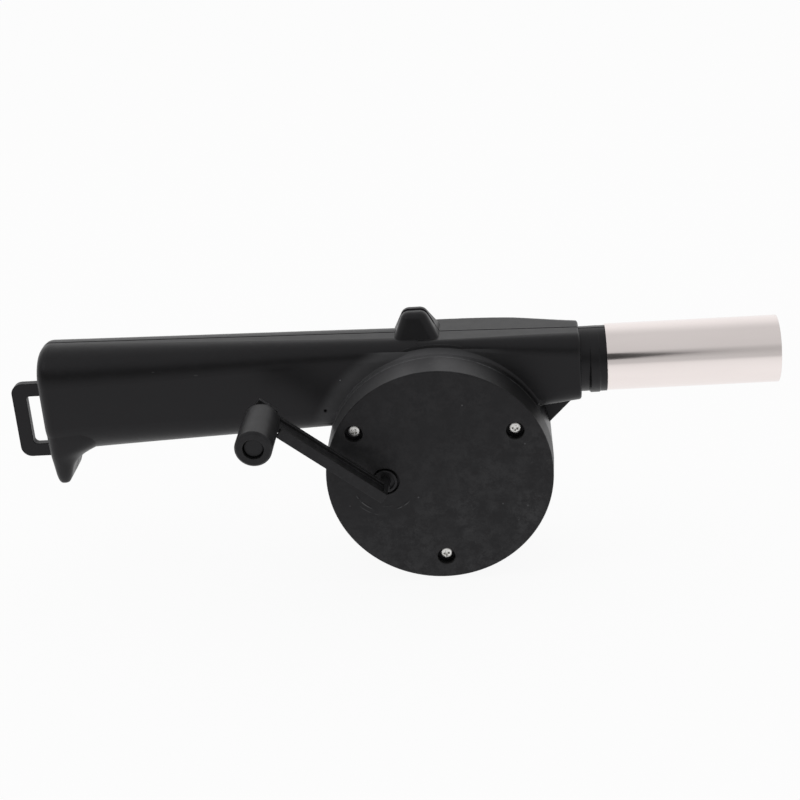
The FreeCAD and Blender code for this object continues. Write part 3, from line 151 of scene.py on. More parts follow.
# %% [markdown]
# ## Helpers for sums
# A mask is often turned round, scaled or multiplied with others, and many marks need the distance
# from an axis. Named functions keep such a sum short, so that a material reads as what is laid
# over what.

# %% Name the sums that come back
def product(tree, first, *others):
    """The product of two or more values."""
    for value in others:
        first = calc(tree, "MULTIPLY", first, value)
    return first


def scaled(tree, value, gain, start):
    """A value times a gain, on top of a start."""
    return calc(tree, "MULTIPLY_ADD", value, gain, start)


def one_less(tree, value):
    """1 less a value, which turns a mask round."""
    return calc(tree, "SUBTRACT", 1.0, value)


def from_axis(tree, sideways, upwards):
    """How far a point lies from an axis, from its two offsets."""
    squares = (product(tree, offset, offset) for offset in (sideways, upwards))
    return calc(tree, "SQRT", calc(tree, "ADD", *squares))


def own_place(tree):
    """Where a point lies on its own object, in metres."""
    return node(tree, "ShaderNodeTexCoord").outputs["Object"]


def split_axes(tree, vector):
    """The X, Y and Z of a vector."""
    return node(tree, "ShaderNodeSeparateXYZ", {0: vector}).outputs


def noise(tree, where, scale, detail=2.0, roughness=0.5):
    """A noise texture's value at a place."""
    return node(tree, "ShaderNodeTexNoise", {
        "Vector": where, "Scale": scale, "Detail": detail, "Roughness": roughness,
    }).outputs["Fac"]


print("sums ready")

# %% [markdown]
# ## The white studio
# Such a photograph is made on a white sweep: a table that is white below and behind the object.
# Black plastic shows that white only in its glancing reflections, and the steel tube shows it
# nearly all round. A plain floor gives the shadow. To the camera it is mostly a plain white of
# strength 1, so that the background is white without any extra light on the object, and a part of
# it is a real diffuse surface, which keeps the soft shadow. In reflections it gets dimmer towards
# the front edge of the table, as the underside of the steel tube shows in the photograph.

# %% Lay the floor
WHITE = (1.0, 1.0, 1.0, 1.0)
BOARD = (0.8, 0.8, 0.8, 1.0)
FLOOR_BELOW = 0.6 * MM
FLOOR_HALF = 3.0
FLOOR_CORNERS = ((-1, -1), (1, -1), (1, 1), (-1, 1))
FLOOR_SHADED = 0.07
FLOOR_FALL = 0.36
FALL_FROM = 0.06
FALL_TO = 0.80

floor_level = cad_box[0][2] - FLOOR_BELOW
floor_mesh = bpy.data.meshes.new("studio_floor")
floor_mesh.from_pydata(
    [(x * FLOOR_HALF, y * FLOOR_HALF, floor_level) for x, y in FLOOR_CORNERS], [], [(0, 1, 2, 3)],
)
studio_floor = bpy.data.objects.new("studio_floor", floor_mesh)
scene.collection.objects.link(studio_floor)

floor_paint = bpy.data.materials.new("floor_white")
floor_paint.use_nodes = True
tree = floor_paint.node_tree
tree.nodes.clear()
path = node(tree, "ShaderNodeLightPath").outputs
seen = calc(tree, "MAXIMUM", path["Is Camera Ray"], path["Is Glossy Ray"])
seen = calc(tree, "MAXIMUM", seen, path["Is Transmission Ray"])
toward_camera = product(tree, split_axes(tree, own_place(tree))[1], -1.0)
falling = ramp(tree, toward_camera, FALL_FROM, FALL_TO, smooth=False)
falling = product(tree, falling, path["Is Glossy Ray"], FLOOR_FALL)
board = node(tree, "ShaderNodeBsdfDiffuse", {"Color": BOARD}).outputs[0]
glow = node(tree, "ShaderNodeEmission", {"Color": WHITE, "Strength": one_less(tree, falling)})
paper = node(tree, "ShaderNodeMixShader", {0: FLOOR_SHADED, 1: glow.outputs[0], 2: board})
surface = node(tree, "ShaderNodeMixShader", {0: seen, 1: board, 2: paper.outputs[0]})
node(tree, "ShaderNodeOutputMaterial", {"Surface": surface.outputs[0]})
floor_mesh.materials.append(floor_paint)

print("floor at", round(floor_level / MM, 2), "mm")

# %% [markdown]
# ## The room around it
# The world stands for the light tent. It is white above, behind and at the sides, and dimmer
# towards the camera, where the photographer stands. The camera itself sees plain white.
# Reflections see the tent with a dark wedge where the camera stood, and a soft grey haze about it:
# in the steel tube they make the crisp dark line that runs out into a grey band. The haze reaches
# further below the line than above it, and it gets weaker towards the right. All of it reads
# the ray's direction only, so it stays the same for every camera place. The heights and sides
# below are parts of a direction of length 1.

# %% Paint the world
TENT_LIGHT = 0.90
TENT_FRONT = 0.45
MIRROR_FRONT = 0.60
MIRROR_RISE = 0.10
LINE_HEIGHT = 0.385
HAZE_SPAN = (0.02, 0.26)
HAZE_BELOW = -0.68
HAZE_LEFT = 0.40
HAZE_LOSS = 0.24
HAZE_LOSS_SPAN = (0.07, 0.16)
WEDGE_TIP = 0.108
WEDGE_FLARE = 4.4
WEDGE_HALF = 0.17
WEDGE_LOWER = 0.03
WEDGE_DARK = 0.92
FRONT_SPAN = (-0.1, 0.75)
BACK_SPAN = (0.10, 0.95)

world = bpy.data.worlds.new("light_tent")
scene.world = world
world.use_nodes = True
tree = world.node_tree
tree.nodes.clear()
side, depth, height = split_axes(tree, node(tree, "ShaderNodeTexCoord").outputs["Generated"])
toward_front = ramp(tree, product(tree, depth, -1.0), *FRONT_SPAN)
toward_back = ramp(tree, depth, *BACK_SPAN)
tent = scaled(tree, toward_front, TENT_FRONT - 1.0, 1.0)
front_wall = scaled(tree, calc(tree, "MAXIMUM", height, 0.0), MIRROR_RISE, MIRROR_FRONT)
mirrored = scaled(tree, one_less(tree, front_wall), toward_back, front_wall)

off_line = calc(tree, "SUBTRACT", height, LINE_HEIGHT)
away = calc(tree, "MAXIMUM", off_line, product(tree, off_line, HAZE_BELOW))
haze_share = scaled(tree, ramp(tree, side, *HAZE_LOSS_SPAN), -HAZE_LOSS, HAZE_LEFT)
haze = product(tree, one_less(tree, ramp(tree, away, *HAZE_SPAN)), haze_share)
wedge = product(tree, calc(tree, "SUBTRACT", WEDGE_TIP, side), WEDGE_FLARE)
wedge = calc(tree, "MAXIMUM", calc(tree, "MINIMUM", wedge, WEDGE_HALF), 0.0)
off_wedge = calc(tree, "ABSOLUTE", calc(tree, "ADD", off_line, WEDGE_LOWER))
lens = product(tree, calc(tree, "LESS_THAN", off_wedge, wedge), WEDGE_DARK)
dark = product(tree, calc(tree, "MAXIMUM", lens, haze), toward_front)
mirrored = product(tree, mirrored, one_less(tree, dark))

print("dark line at height", LINE_HEIGHT, "with its tip at", WEDGE_TIP)

# %% [markdown]
# ## One room for each kind of ray
# A single picture of the room can't light the object softly, look right in the steel and be a
# white background at once. The Light Path node tells the kinds of ray apart, so each sees its own.

# %% Show each kind of ray its own room
def blend_value(tree, share, first, second):
    """The first value where the share is 0, the second where it is 1."""
    made = node(tree, "ShaderNodeMix", {0: share, 2: first, 3: second}, data_type="FLOAT")
    return made.outputs[0]


path = node(tree, "ShaderNodeLightPath").outputs
reflected = calc(tree, "MAXIMUM", path["Is Glossy Ray"], path["Is Transmission Ray"])
room = blend_value(tree, reflected, product(tree, tent, TENT_LIGHT), mirrored)
strength = blend_value(tree, path["Is Camera Ray"], room, 1.0)
air = node(tree, "ShaderNodeBackground", {"Color": WHITE, "Strength": strength})
node(tree, "ShaderNodeOutputWorld", {"Surface": air.outputs[0]})

print("tent light", TENT_LIGHT, "front share", TENT_FRONT)

# %% [markdown]
# ## Soft lamps
# The tent does nearly all of the lighting: black plastic looks light only where it is seen at a
# glancing angle, as on the top of the handle. A strong lamp would draw a bright band along every
# rounded edge, which the photograph doesn't have. So one wide, weak soft box hangs above and shows
# in no reflection, because the tent's roof is there already, and a small one at the left gives the
# knob a soft patch. The size of an area lamp decides how soft the edge of its highlight is.

# %% Hang the lamps
def soft_box(name, place, aim, size, power):
    """An area lamp at a place, turned to what it lights."""
    lamp = bpy.data.lights.new(name, "AREA")
    lamp.energy = power
    lamp.size = size
    holder = bpy.data.objects.new(name, lamp)
    scene.collection.objects.link(holder)
    holder.location = place
    holder.rotation_euler = (Vector(aim) - Vector(place)).to_track_quat("-Z", "Y").to_euler()
    return holder


overhead = soft_box(
    "soft_box_above", place=(0.05, 0.15, 0.80), aim=(0.06, 0.0, 0.0), size=0.9, power=0.8,
)
overhead.visible_glossy = False
soft_box(
    "soft_box_left", place=(-0.45, -0.30, 0.60), aim=(0.02, -0.04, 0.0), size=0.25, power=0.15,
)

scene.view_settings.view_transform = "Standard"

# %% [markdown]
# ## Moulded skin
# The body comes from a steel mould with a fine spark-eroded texture. On the real object that shows
# as a satin surface: a grain of a few tenths of a millimetre, and slow waves of about a centimetre
# where the plastic shrank over ribs. One group makes that height, with the size of its grain and
# its waves as inputs; the black plastics use its own values, and the gears' acetal a shallower
# grain. Object coordinates are in metres, so a noise scale of 1000 means one cell per millimetre.

# %% Build the moulded skin group
VALUE = "NodeSocketFloat"


def open_group(name, inputs, outputs):
    """A new shader node group with named inputs (name, value) and outputs (name, kind)."""
    group = bpy.data.node_groups.new(name, "ShaderNodeTree")
    for label, value in inputs:
        socket = group.interface.new_socket(name=label, in_out="INPUT", socket_type=VALUE)
        socket.default_value = value
    for label, kind in outputs:
        group.interface.new_socket(name=label, in_out="OUTPUT", socket_type=kind)
    given = group.nodes.new("NodeGroupInput").outputs
    result = group.nodes.new("NodeGroupOutput").inputs
    return group, given, result


skin, given, result = open_group(
    "moulded_skin",
    [("Grain Scale", 2600.0), ("Grain Depth", 0.35), ("Wave Scale", 110.0), ("Wave Depth", 1.0)],
    [("Height", VALUE), ("Patches", VALUE)],
)
where = own_place(skin)
grain = product(skin, noise(skin, where, given["Grain Scale"], 3.0), given["Grain Depth"])
waves = product(skin, noise(skin, where, given["Wave Scale"], 1.0), given["Wave Depth"])
skin.links.new(calc(skin, "ADD", grain, waves), result["Height"])
skin.links.new(noise(skin, where, 260.0, 4.0, 0.62), result["Patches"])

print("group:", skin.name, [s.name for s in skin.interface.items_tree])

# %% [markdown]
# ## Worn edges and a painted edge highlight
# Handling rubs the satin off the edges, and the corner of a black moulding always looks a little
# lighter than its faces, where it catches the light. The mask lightens the colour there, so it is
# partly real wear and partly a painted highlight. The Bevel node gives the normal that a rounded
# edge would have, and where that differs from the true normal there is an edge. The group puts out
# the rounded normal too, so that the sharp edges of the solids catch the light as real, slightly
# rounded ones do. A noise breaks the mask up, so no edge is worn or lit evenly.

# %% Build the edge group
edges, given, result = open_group(
    "worn_edges",
    [("Width", 0.4 * MM), ("Unevenness", 0.6)],
    [("Mask", VALUE), ("Rounded", "NodeSocketVector")],
)
rounded = node(edges, "ShaderNodeBevel", {"Radius": given["Width"]}, samples=4).outputs[0]
flat = node(edges, "ShaderNodeNewGeometry").outputs["Normal"]
likeness = node(edges, "ShaderNodeVectorMath", {0: rounded, 1: flat}, operation="DOT_PRODUCT")
found = ramp(edges, one_less(edges, likeness.outputs["Value"]), 0.02, 0.28)
breaks = ramp(edges, noise(edges, own_place(edges), 420.0, 3.0), 0.35, 0.65)
uneven = one_less(edges, product(edges, given["Unevenness"], one_less(edges, breaks)))
edges.links.new(product(edges, found, uneven), result["Mask"])
edges.links.new(rounded, result["Rounded"])

print("group:", edges.name)

# %% [markdown]
# ## Dust
# The drum's cover lies uppermost when the blower is put down, so it carries light dust: a faint
# mottled film, thicker in places, and single bright specks. The film is a noise, and the specks
# are the middles of Voronoi cells, where a random value for each cell decides whether it holds a
# speck and how large that is.

# %% Build the dust group
LEAST_SPECK = 0.35

dust, given, result = open_group(
    "settled_dust",
    [("Film Scale", 330.0), ("Speck Scale", 620.0), ("Speck Share", 0.06), ("Speck Size", 0.22)],
    [("Film", VALUE), ("Specks", VALUE)],
)
where = own_place(dust)
clouds = ramp(dust, noise(dust, where, 75.0, 3.0, 0.6), 0.34, 0.64)
film = ramp(dust, noise(dust, where, given["Film Scale"], 7.0, 0.75), 0.38, 0.62)
dust.links.new(product(dust, film, scaled(dust, clouds, 0.75, 0.35)), result["Film"])

cell = node(dust, "ShaderNodeTexVoronoi", {"Vector": where, "Scale": given["Speck Scale"]}).outputs
chance = node(dust, "ShaderNodeSeparateColor", {0: cell["Color"]}).outputs
holds = calc(dust, "LESS_THAN", chance[0], given["Speck Share"])
reach = product(dust, calc(dust, "ADD", LEAST_SPECK, chance[1]), given["Speck Size"])
near = one_less(dust, ramp(dust, cell["Distance"], 0.0, reach))
dust.links.new(product(dust, holds, near), result["Specks"])

print("group:", dust.name)

# %% [markdown]
# ## The parting line
# The handle and duct are two halves that meet in the plane Y = 0. Along the top of the real body
# that joint is a thin dark line that breaks off and starts again, with a slightly raised edge
# beside it that catches the light; that edge is a painted highlight. The line is painted by the
# distance from the plane, which a noise along the body shifts and breaks. Faces that lie in the
# plane itself, such as the strap loop's front, are kept free of it by the direction that they face.
# Over the screw lobe the joint gapes, so it is wider and unbroken there.

# %% Build the parting line group
LINE_SHIFT = 0.30 * MM
LOBE_BEYOND = 60.0 * MM
LOBE_RISE = (17.4 * MM, 18.4 * MM)
GAP_SPAN = (0.6, 1.4)
LIP_HIGHLIGHT_SPAN = (1.6, 3.4)
MOST_SIDEWAYS = 0.7

joint, given, result = open_group(
    "parting_line",
    [("Plane", 0.0), ("Width", 0.22 * MM), ("Breaks", 0.5), ("Lobe Gain", 0.0)],
    [("Gap", VALUE), ("Lip", VALUE)],
)
along, outward, upward = split_axes(joint, own_place(joint))
run = node(joint, "ShaderNodeCombineXYZ", {0: along, 2: upward}).outputs[0]
shift = product(joint, calc(joint, "SUBTRACT", noise(joint, run, 90.0, 2.0), 0.5), LINE_SHIFT)
off_plane = calc(joint, "SUBTRACT", outward, given["Plane"])
away = calc(joint, "ABSOLUTE", calc(joint, "SUBTRACT", off_plane, shift))
on_lobe = calc(joint, "GREATER_THAN", along, LOBE_BEYOND)
on_lobe = product(joint, ramp(joint, upward, *LOBE_RISE), on_lobe)
width = product(joint, given["Width"], scaled(joint, on_lobe, given["Lobe Gain"], 1.0))
gap, lip_highlight = (
    one_less(joint, ramp(joint, away, product(joint, width, start), product(joint, width, stop)))
    for start, stop in (GAP_SPAN, LIP_HIGHLIGHT_SPAN)
)

facing = split_axes(joint, node(joint, "ShaderNodeTexCoord").outputs["Normal"])[1]
outside = calc(joint, "LESS_THAN", calc(joint, "ABSOLUTE", facing), MOST_SIDEWAYS)
strong = ramp(joint, noise(joint, run, 170.0, 3.0, 0.6), 0.30, 0.58)
strong = scaled(joint, strong, given["Breaks"], one_less(joint, given["Breaks"]))
strong = product(joint, calc(joint, "MAXIMUM", strong, on_lobe), outside)
joint.links.new(product(joint, gap, strong), result["Gap"])
# The lip output is a painted highlight on the raised edge beside the line.
joint.links.new(product(joint, calc(joint, "SUBTRACT", lip_highlight, gap), strong), result["Lip"])

print("group:", joint.name)

# %% [markdown]
# ## The lit shoulder, as painted light
# The drum's upper side, and the hollow shoulder where it grows out of the duct, look pale where the
# light from above falls on them, and this group paints that light into the colour. It is a film
# over a ring about the drum's axis, strongest where the surface looks up and towards the handle.
# Both the cover and the body use it, so that the painted band of light runs across the seam between
# them.

# %% Build the painted shoulder light group
DRUM_X = 80.0 * MM
DRUM_Z = -25.8 * MM
SHOULDER_FRONT = -10.5 * MM
LIT_FACING_UP = 0.82
LIT_FACING_RIGHT = -0.57

shoulder_light, given, result = open_group(
    "pale_shoulder",
    [("Inside", 36.5 * MM), ("Outside", 40.5 * MM), ("Fade", 4.5 * MM)],
    [("Film", VALUE)],
)
where = own_place(shoulder_light)
along, outward, upward = split_axes(shoulder_light, where)
right_of = calc(shoulder_light, "SUBTRACT", along, DRUM_X)
over = calc(shoulder_light, "SUBTRACT", upward, DRUM_Z)
reach = from_axis(shoulder_light, right_of, over)
gone = calc(shoulder_light, "ADD", given["Outside"], given["Fade"])
beyond = calc(shoulder_light, "GREATER_THAN", reach, given["Inside"])
ring = product(shoulder_light, beyond, one_less(shoulder_light, ramp(shoulder_light, reach, given["Outside"], gone)))
lit_where_facing_up = scaled(shoulder_light, over, LIT_FACING_UP, product(shoulder_light, right_of, LIT_FACING_RIGHT))
lit_where_facing_up = ramp(shoulder_light, calc(shoulder_light, "DIVIDE", lit_where_facing_up, reach), 0.15, 0.95)
front_only = calc(shoulder_light, "LESS_THAN", outward, SHOULDER_FRONT)
cloud = scaled(shoulder_light, noise(shoulder_light, where, 180.0, 5.0, 0.65), 0.7, 0.65)
film = product(shoulder_light, ring, lit_where_facing_up, front_only, cloud)
shoulder_light.links.new(calc(shoulder_light, "MINIMUM", film, 1.0), result["Film"])

print("group:", shoulder_light.name)

# %% [markdown]
# ## A maker for black plastic
# Four plastics differ only in how dark, how rough and how worn they are, so one function makes
# them. The plastic is nearly black by its own colour, and grey only where it reflects the tent at
# a glancing angle: a low base colour, a satin surface and an index of refraction a little below
# 1.4 give that. The grain goes to the Bump node, the edges are lightened towards the worn grey,
# partly as real wear and partly as a painted edge highlight, and the patches vary the gloss.

# %% Make the tools for materials
SHEEN = (0.97, 0.95, 1.0, 1.0)
BLUE_TINT = 1.03
PATCH_DARK = 0.8
PATCH_LIGHT = 1.25
PATCH_GLOSS = 0.12
PATCH_GLOSS_MIDDLE = 0.05
WEAR_AND_HIGHLIGHT_SHARE = 0.55


def place_group(tree, group, **values):
    """A group node with its own values, and its outputs."""
    made = tree.nodes.new("ShaderNodeGroup")
    made.node_tree = group
    for label, value in values.items():
        made.inputs[label.replace("_", " ")].default_value = value
    return made.outputs


def grey(value):
    """A grey with a slight blue tint, as a colour with alpha."""
    return (value, value, value * BLUE_TINT, 1.0)


def lay_over(tree, colour, mask, strength, shade):
    """A colour with a grey laid over it, as strong as the mask times the strength."""
    return blend_colour(tree, product(tree, mask, strength), colour, grey(shade))


def new_material(name, **sockets):
    """A material with a Principled BSDF whose plain values are set on the shader itself."""
    material = bpy.data.materials.new(name)
    material.use_nodes = True
    shader = material.node_tree.nodes["Principled BSDF"]
    for label, value in sockets.items():
        shader.inputs[label.replace("_", " ")].default_value = value
    return material, material.node_tree, shader


def paint(tree, shader, colour, roughness):
    """Link the finished colour and roughness to the shader."""
    tree.links.new(colour, shader.inputs["Base Color"])
    tree.links.new(roughness, shader.inputs["Roughness"])


def emboss(tree, shader, strength, distance, height, normal=None):
    """Link a bump to the shader, on top of a normal if one is given."""
    relief = node(tree, "ShaderNodeBump", {
        "Strength": strength, "Distance": distance, "Height": height,
    })
    if normal is not None:
        tree.links.new(normal, relief.inputs["Normal"])
    tree.links.new(relief.outputs[0], shader.inputs["Normal"])


def black_plastic(name, base, worn, rough, bump, wear_width=0.35 * MM):
    """Moulded black plastic, with its colour and roughness so far, for finishes on top."""
    material, tree, shader = new_material(name, IOR=1.34, Specular_Tint=SHEEN)
    surface = place_group(tree, skin)
    wear_and_edge_highlight = place_group(tree, edges, Width=wear_width)
    dark, light = grey(base * PATCH_DARK), grey(base * PATCH_LIGHT)
    mottled = blend_colour(tree, surface["Patches"], dark, light)
    # The edges lighten towards the worn grey: partly real wear, partly a painted edge highlight.
    colour = lay_over(tree, mottled, wear_and_edge_highlight["Mask"], WEAR_AND_HIGHLIGHT_SHARE, worn)
    satin = scaled(tree, surface["Patches"], PATCH_GLOSS, rough - PATCH_GLOSS_MIDDLE)
    emboss(tree, shader, bump, 0.06 * MM, surface["Height"], wear_and_edge_highlight["Rounded"])
    return material, tree, shader, colour, satin


print("material tools ready")

# %% [markdown]
# ## The body's plastic
# The two body halves carry the parting line, a painted highlight along the seam round the drum, and
# painted light on the shoulder where it faces up. On the real handle are also the round mark of an
# ejector pin near the drum, a white speck, a pit and two short scratches. Each is a soft spot
# painted over the colour: the pin mark's light rim is a painted highlight, and its dark middle and
# the pit are painted shade in their hollows. The parting line and the pin mark's middle must stay
# black, as a real gap does, but plastic always keeps some gloss. A metal reflects only in its own
# colour, so a black metal takes that gloss away.

# %% Make the body plastic
DRUM_SEAM = -14.7 * MM
CRANK_SIDE = -4.0 * MM
SPOT_CORE = 0.6
PIN_X, PIN_Z, PIN_SHADE_RADIUS = 43.2, -6.5, 0.55
GAP_AND_SHADE_GREY = 0.0008
GAP_AND_SHADE_ROUGH = 0.6
GAP_AND_SHADE_METAL = 0.9

body_plastic, tree, shader, colour, satin = black_plastic(
    "body_plastic", base=0.0080, worn=0.040, rough=0.36, bump=0.5,
)
line = place_group(tree, joint, Width=0.30 * MM, Breaks=0.40, Lobe_Gain=2.0)
seam_highlight = place_group(tree, joint, Plane=DRUM_SEAM, Width=0.10 * MM, Breaks=0.9)
# Painted highlights: a light lip beside the parting line and a light line along the drum's seam;
# between them, painted light on the shoulder where it faces up.
colour = lay_over(tree, colour, line["Lip"], 0.35, 0.05)
colour = lay_over(tree, colour, place_group(tree, shoulder_light)["Film"], 0.85, 0.075)
colour = lay_over(tree, colour, seam_highlight["Lip"], 0.85, 0.17)

along, outward, upward = split_axes(tree, own_place(tree))
crank_side = calc(tree, "LESS_THAN", outward, CRANK_SIDE)


def spot(x, z, radius, squeeze=1.0):
    """1 in a soft spot on the crank side, in mm; a squeeze under 1 draws it out along X."""
    sideways = product(tree, calc(tree, "SUBTRACT", along, x * MM), squeeze)
    upwards = calc(tree, "SUBTRACT", upward, z * MM)
    reach = from_axis(tree, sideways, upwards)
    inside = one_less(tree, ramp(tree, reach, radius * SPOT_CORE * MM, radius * MM))
    return product(tree, inside, crank_side)


# The pin mark's light rim is a painted highlight; its dark middle and the pit are painted shade in
# hollows.
BODY_MARKS = (  # x, z and radius in mm, squeeze, grey
    (PIN_X, PIN_Z - 0.1, 0.95, 1.00, 0.0300),   # the light rim of the ejector pin's mark
    (PIN_X, PIN_Z, 0.60, 1.00, 0.0004),         # its dark middle
    (49.0, 4.0, 0.22, 1.00, 0.3000),            # a white speck
    (2.0, 8.6, 0.30, 0.35, 0.0300),             # a scratch
    (46.7, 17.9, 0.35, 0.60, 0.0004),           # a pit
    (-12.0, 10.4, 0.18, 0.30, 0.0350),          # a scratch
)
for *sizes, shade in BODY_MARKS:
    colour = blend_colour(tree, spot(*sizes), colour, grey(shade))
# Black, with its gloss taken away, for the parting line's gap and, as painted shade, for the pin
# mark's middle.
gap_and_pin_shade = calc(tree, "MAXIMUM", line["Gap"], spot(PIN_X, PIN_Z, PIN_SHADE_RADIUS))
colour = blend_colour(tree, gap_and_pin_shade, colour, grey(GAP_AND_SHADE_GREY))
paint(tree, shader, colour, scaled(tree, gap_and_pin_shade, GAP_AND_SHADE_ROUGH, satin))
tree.links.new(product(tree, gap_and_pin_shade, GAP_AND_SHADE_METAL), shader.inputs["Metallic"])

print("material:", body_plastic.name)

# %% [markdown]
# ## The cover's plastic
# The cover is the same plastic, but it has a history: a dust film that is heavier towards its lower
# right, and bright specks of dust all over it. Thinner towards the upper left, the film also leaves
# the face darker there, as painted shade where the arm's shadow falls, and the side wall gets
# painted light where it faces up. The face and the side wall are told apart by their place along Y,
# which is simpler than a second material.

# %% Make the cover's plastic
CRANK_X = 62.2 * MM
CRANK_Z = -26.6 * MM
COVER_FACE = -25.7 * MM
FACE_BAND = 0.5 * MM

cover_plastic, tree, shader, colour, satin = black_plastic(
    "cover_plastic", base=0.0090, worn=0.05, rough=0.46, bump=0.6,
)
where = own_place(tree)
along, outward, upward = split_axes(tree, where)
across = calc(tree, "SUBTRACT", along, CRANK_X)
above = calc(tree, "SUBTRACT", upward, CRANK_Z)
face = calc(tree, "LESS_THAN", outward, COVER_FACE + FACE_BAND)
settled = place_group(tree, dust)

# The dust film is heavier towards the lower right; where it thins towards the upper left it also
# stands as painted shade from the arm.
lower_right = calc(tree, "SUBTRACT", product(tree, across, 0.6), above)
lower_right = ramp(tree, lower_right, -6.0 * MM, 45.0 * MM)
film = product(tree, settled["Film"], scaled(tree, lower_right, 0.60, 0.22), face)
# Painted light: the shoulder film lightens the cover's side wall where it faces up.
side_wall_light = product(tree, place_group(tree, shoulder_light)["Film"], one_less(tree, face))
colour = blend_colour(tree, film, colour, grey(0.055))
colour = lay_over(tree, colour, settled["Specks"], 0.8, 0.14)
colour = lay_over(tree, colour, side_wall_light, 0.75, 0.060)

print("material:", cover_plastic.name)

# %% [markdown]
# ## Scuffs below the hub
# On the real cover the crank's arm has rubbed arcs into the plastic. They could be cut into the
# mesh, but they are far too shallow for that, so each is a thin painted ring about the crank's
# axis, kept only between two angles. A noise wears it away in places, and a dark groove always has
# a light burr beside it.

# %% Scuff the cover below the hub
SCUFF_FADE = 12.0
SCUFF_CORE = 0.3
FILM_ROUGH = 0.25

reach = from_axis(tree, across, above)
turn = calc(tree, "ARCTAN2", above, across)
worn = ramp(tree, noise(tree, where, 500.0, 3.0, 0.7), 0.36, 0.54)


def scuff(radius, width, low, high, strength):
    """A worn ring about the crank's axis, in millimetres, between two angles in degrees."""
    off_ring = calc(tree, "ABSOLUTE", calc(tree, "SUBTRACT", reach, radius * MM))
    ring = one_less(tree, ramp(tree, off_ring, width * SCUFF_CORE * MM, width * MM))
    start = ramp(tree, turn, math.radians(low), math.radians(low + SCUFF_FADE))
    stop = one_less(tree, ramp(tree, turn, math.radians(high - SCUFF_FADE), math.radians(high)))
    return product(tree, ring, start, stop, worn, strength, face)


SCUFFS = (  # radius and width in mm, first and last angle in degrees, strength, grey
    (10.9, 0.24, -158.0, -112.0, 0.8, 0.12), (10.4, 0.34, -160.0, -110.0, 1.0, 0.0006),
    (9.1, 0.22, -112.0, -76.0, 0.7, 0.11), (8.7, 0.32, -114.0, -74.0, 1.0, 0.0006),
    (10.6, 0.22, -76.0, -42.0, 0.7, 0.11), (10.1, 0.30, -80.0, -40.0, 1.0, 0.0006),
    (12.4, 0.20, -140.0, -100.0, 0.5, 0.10),
)
for *sizes, shade in SCUFFS:
    colour = blend_colour(tree, scuff(*sizes), colour, grey(shade))
paint(tree, shader, colour, scaled(tree, film, FILM_ROUGH, satin))

print("scuffs:", len(SCUFFS))

# %% [markdown]
# ## The crank's and the fan's plastic
# The crank and its knob are the part that the hand touches, so they are a little smoother and
# their edges more worn; their lighter edges are also partly a painted highlight. The fan is a plain
# matte moulding, seen only through the intake.

# %% Make the crank's and the fan's plastic
crank_plastic, tree, shader, colour, satin = black_plastic(
    "crank_plastic", base=0.0110, worn=0.075, rough=0.40, bump=0.4, wear_width=0.45 * MM,
)
settled = place_group(tree, dust, Speck_Scale=800.0)
colour = lay_over(tree, colour, settled["Specks"], 0.35, 0.10)
colour = lay_over(tree, colour, settled["Film"], 0.18, 0.05)
paint(tree, shader, colour, satin)

fan_plastic, tree, shader, colour, satin = black_plastic(
    "fan_plastic", base=0.016, worn=0.04, rough=0.52, bump=0.4,
)
paint(tree, shader, colour, satin)

print("materials:", crank_plastic.name, fan_plastic.name)

# %% [markdown]
# ## The nozzle's steel
# The nozzle is drawn thin steel tube, polished but not a mirror: its reflections are smeared a
# little along the tube, and fine draw lines run the same way. The lines are a noise squeezed
# around the tube and stretched along it with a Mapping node, and they go to the roughness and to a
# very small bump. A few shallow dents and a warm tint keep it from looking like chrome.

# %% Make the nozzle's steel
STEEL_DARK = (0.84, 0.765, 0.745, 1.0)
STEEL_LIGHT = (0.90, 0.83, 0.81, 1.0)
STEEL_ROUGH = 0.035


def streaks(tree, scale, *texture):
    """A noise with its own scale along each axis."""
    squeezed = node(tree, "ShaderNodeMapping", {"Vector": own_place(tree), "Scale": scale})
    return noise(tree, squeezed.outputs[0], 1.0, *texture)


nozzle_steel, tree, shader = new_material("nozzle_steel", Metallic=1.0)
draw_lines = streaks(tree, (14.0, 2600.0, 2600.0), 3.0, 0.6)
smears = streaks(tree, (30.0, 160.0, 160.0), 2.0)
colour = blend_colour(tree, smears, STEEL_DARK, STEEL_LIGHT)
gloss = scaled(tree, smears, 0.05, scaled(tree, draw_lines, 0.05, STEEL_ROUGH))
paint(tree, shader, colour, gloss)
height = scaled(tree, draw_lines, 0.06, noise(tree, own_place(tree), 60.0, 1.0))
rounded = place_group(tree, edges, Width=0.3 * MM)["Rounded"]
emboss(tree, shader, 0.25, 0.05 * MM, height, rounded)

print("material:", nozzle_steel.name)

# %% [markdown]
# ## Screws, shafts, bushes and gears
# The screws are zinc plated: bright, with duller patches. The shafts are ground steel. The bushes
# are sintered bronze, a warm metal full of tiny pores, and the gears are natural acetal, an
# off-white plastic with a waxy shine. The three metals differ only in colour, roughness and the
# size of their patches, so one function makes them, and each has its edges painted brighter still,
# partly as wear and partly as a painted highlight.

# %% Make the small metals and the gear plastic
RIM_GAIN = 1.15
ACETAL_ROUGH = 0.30


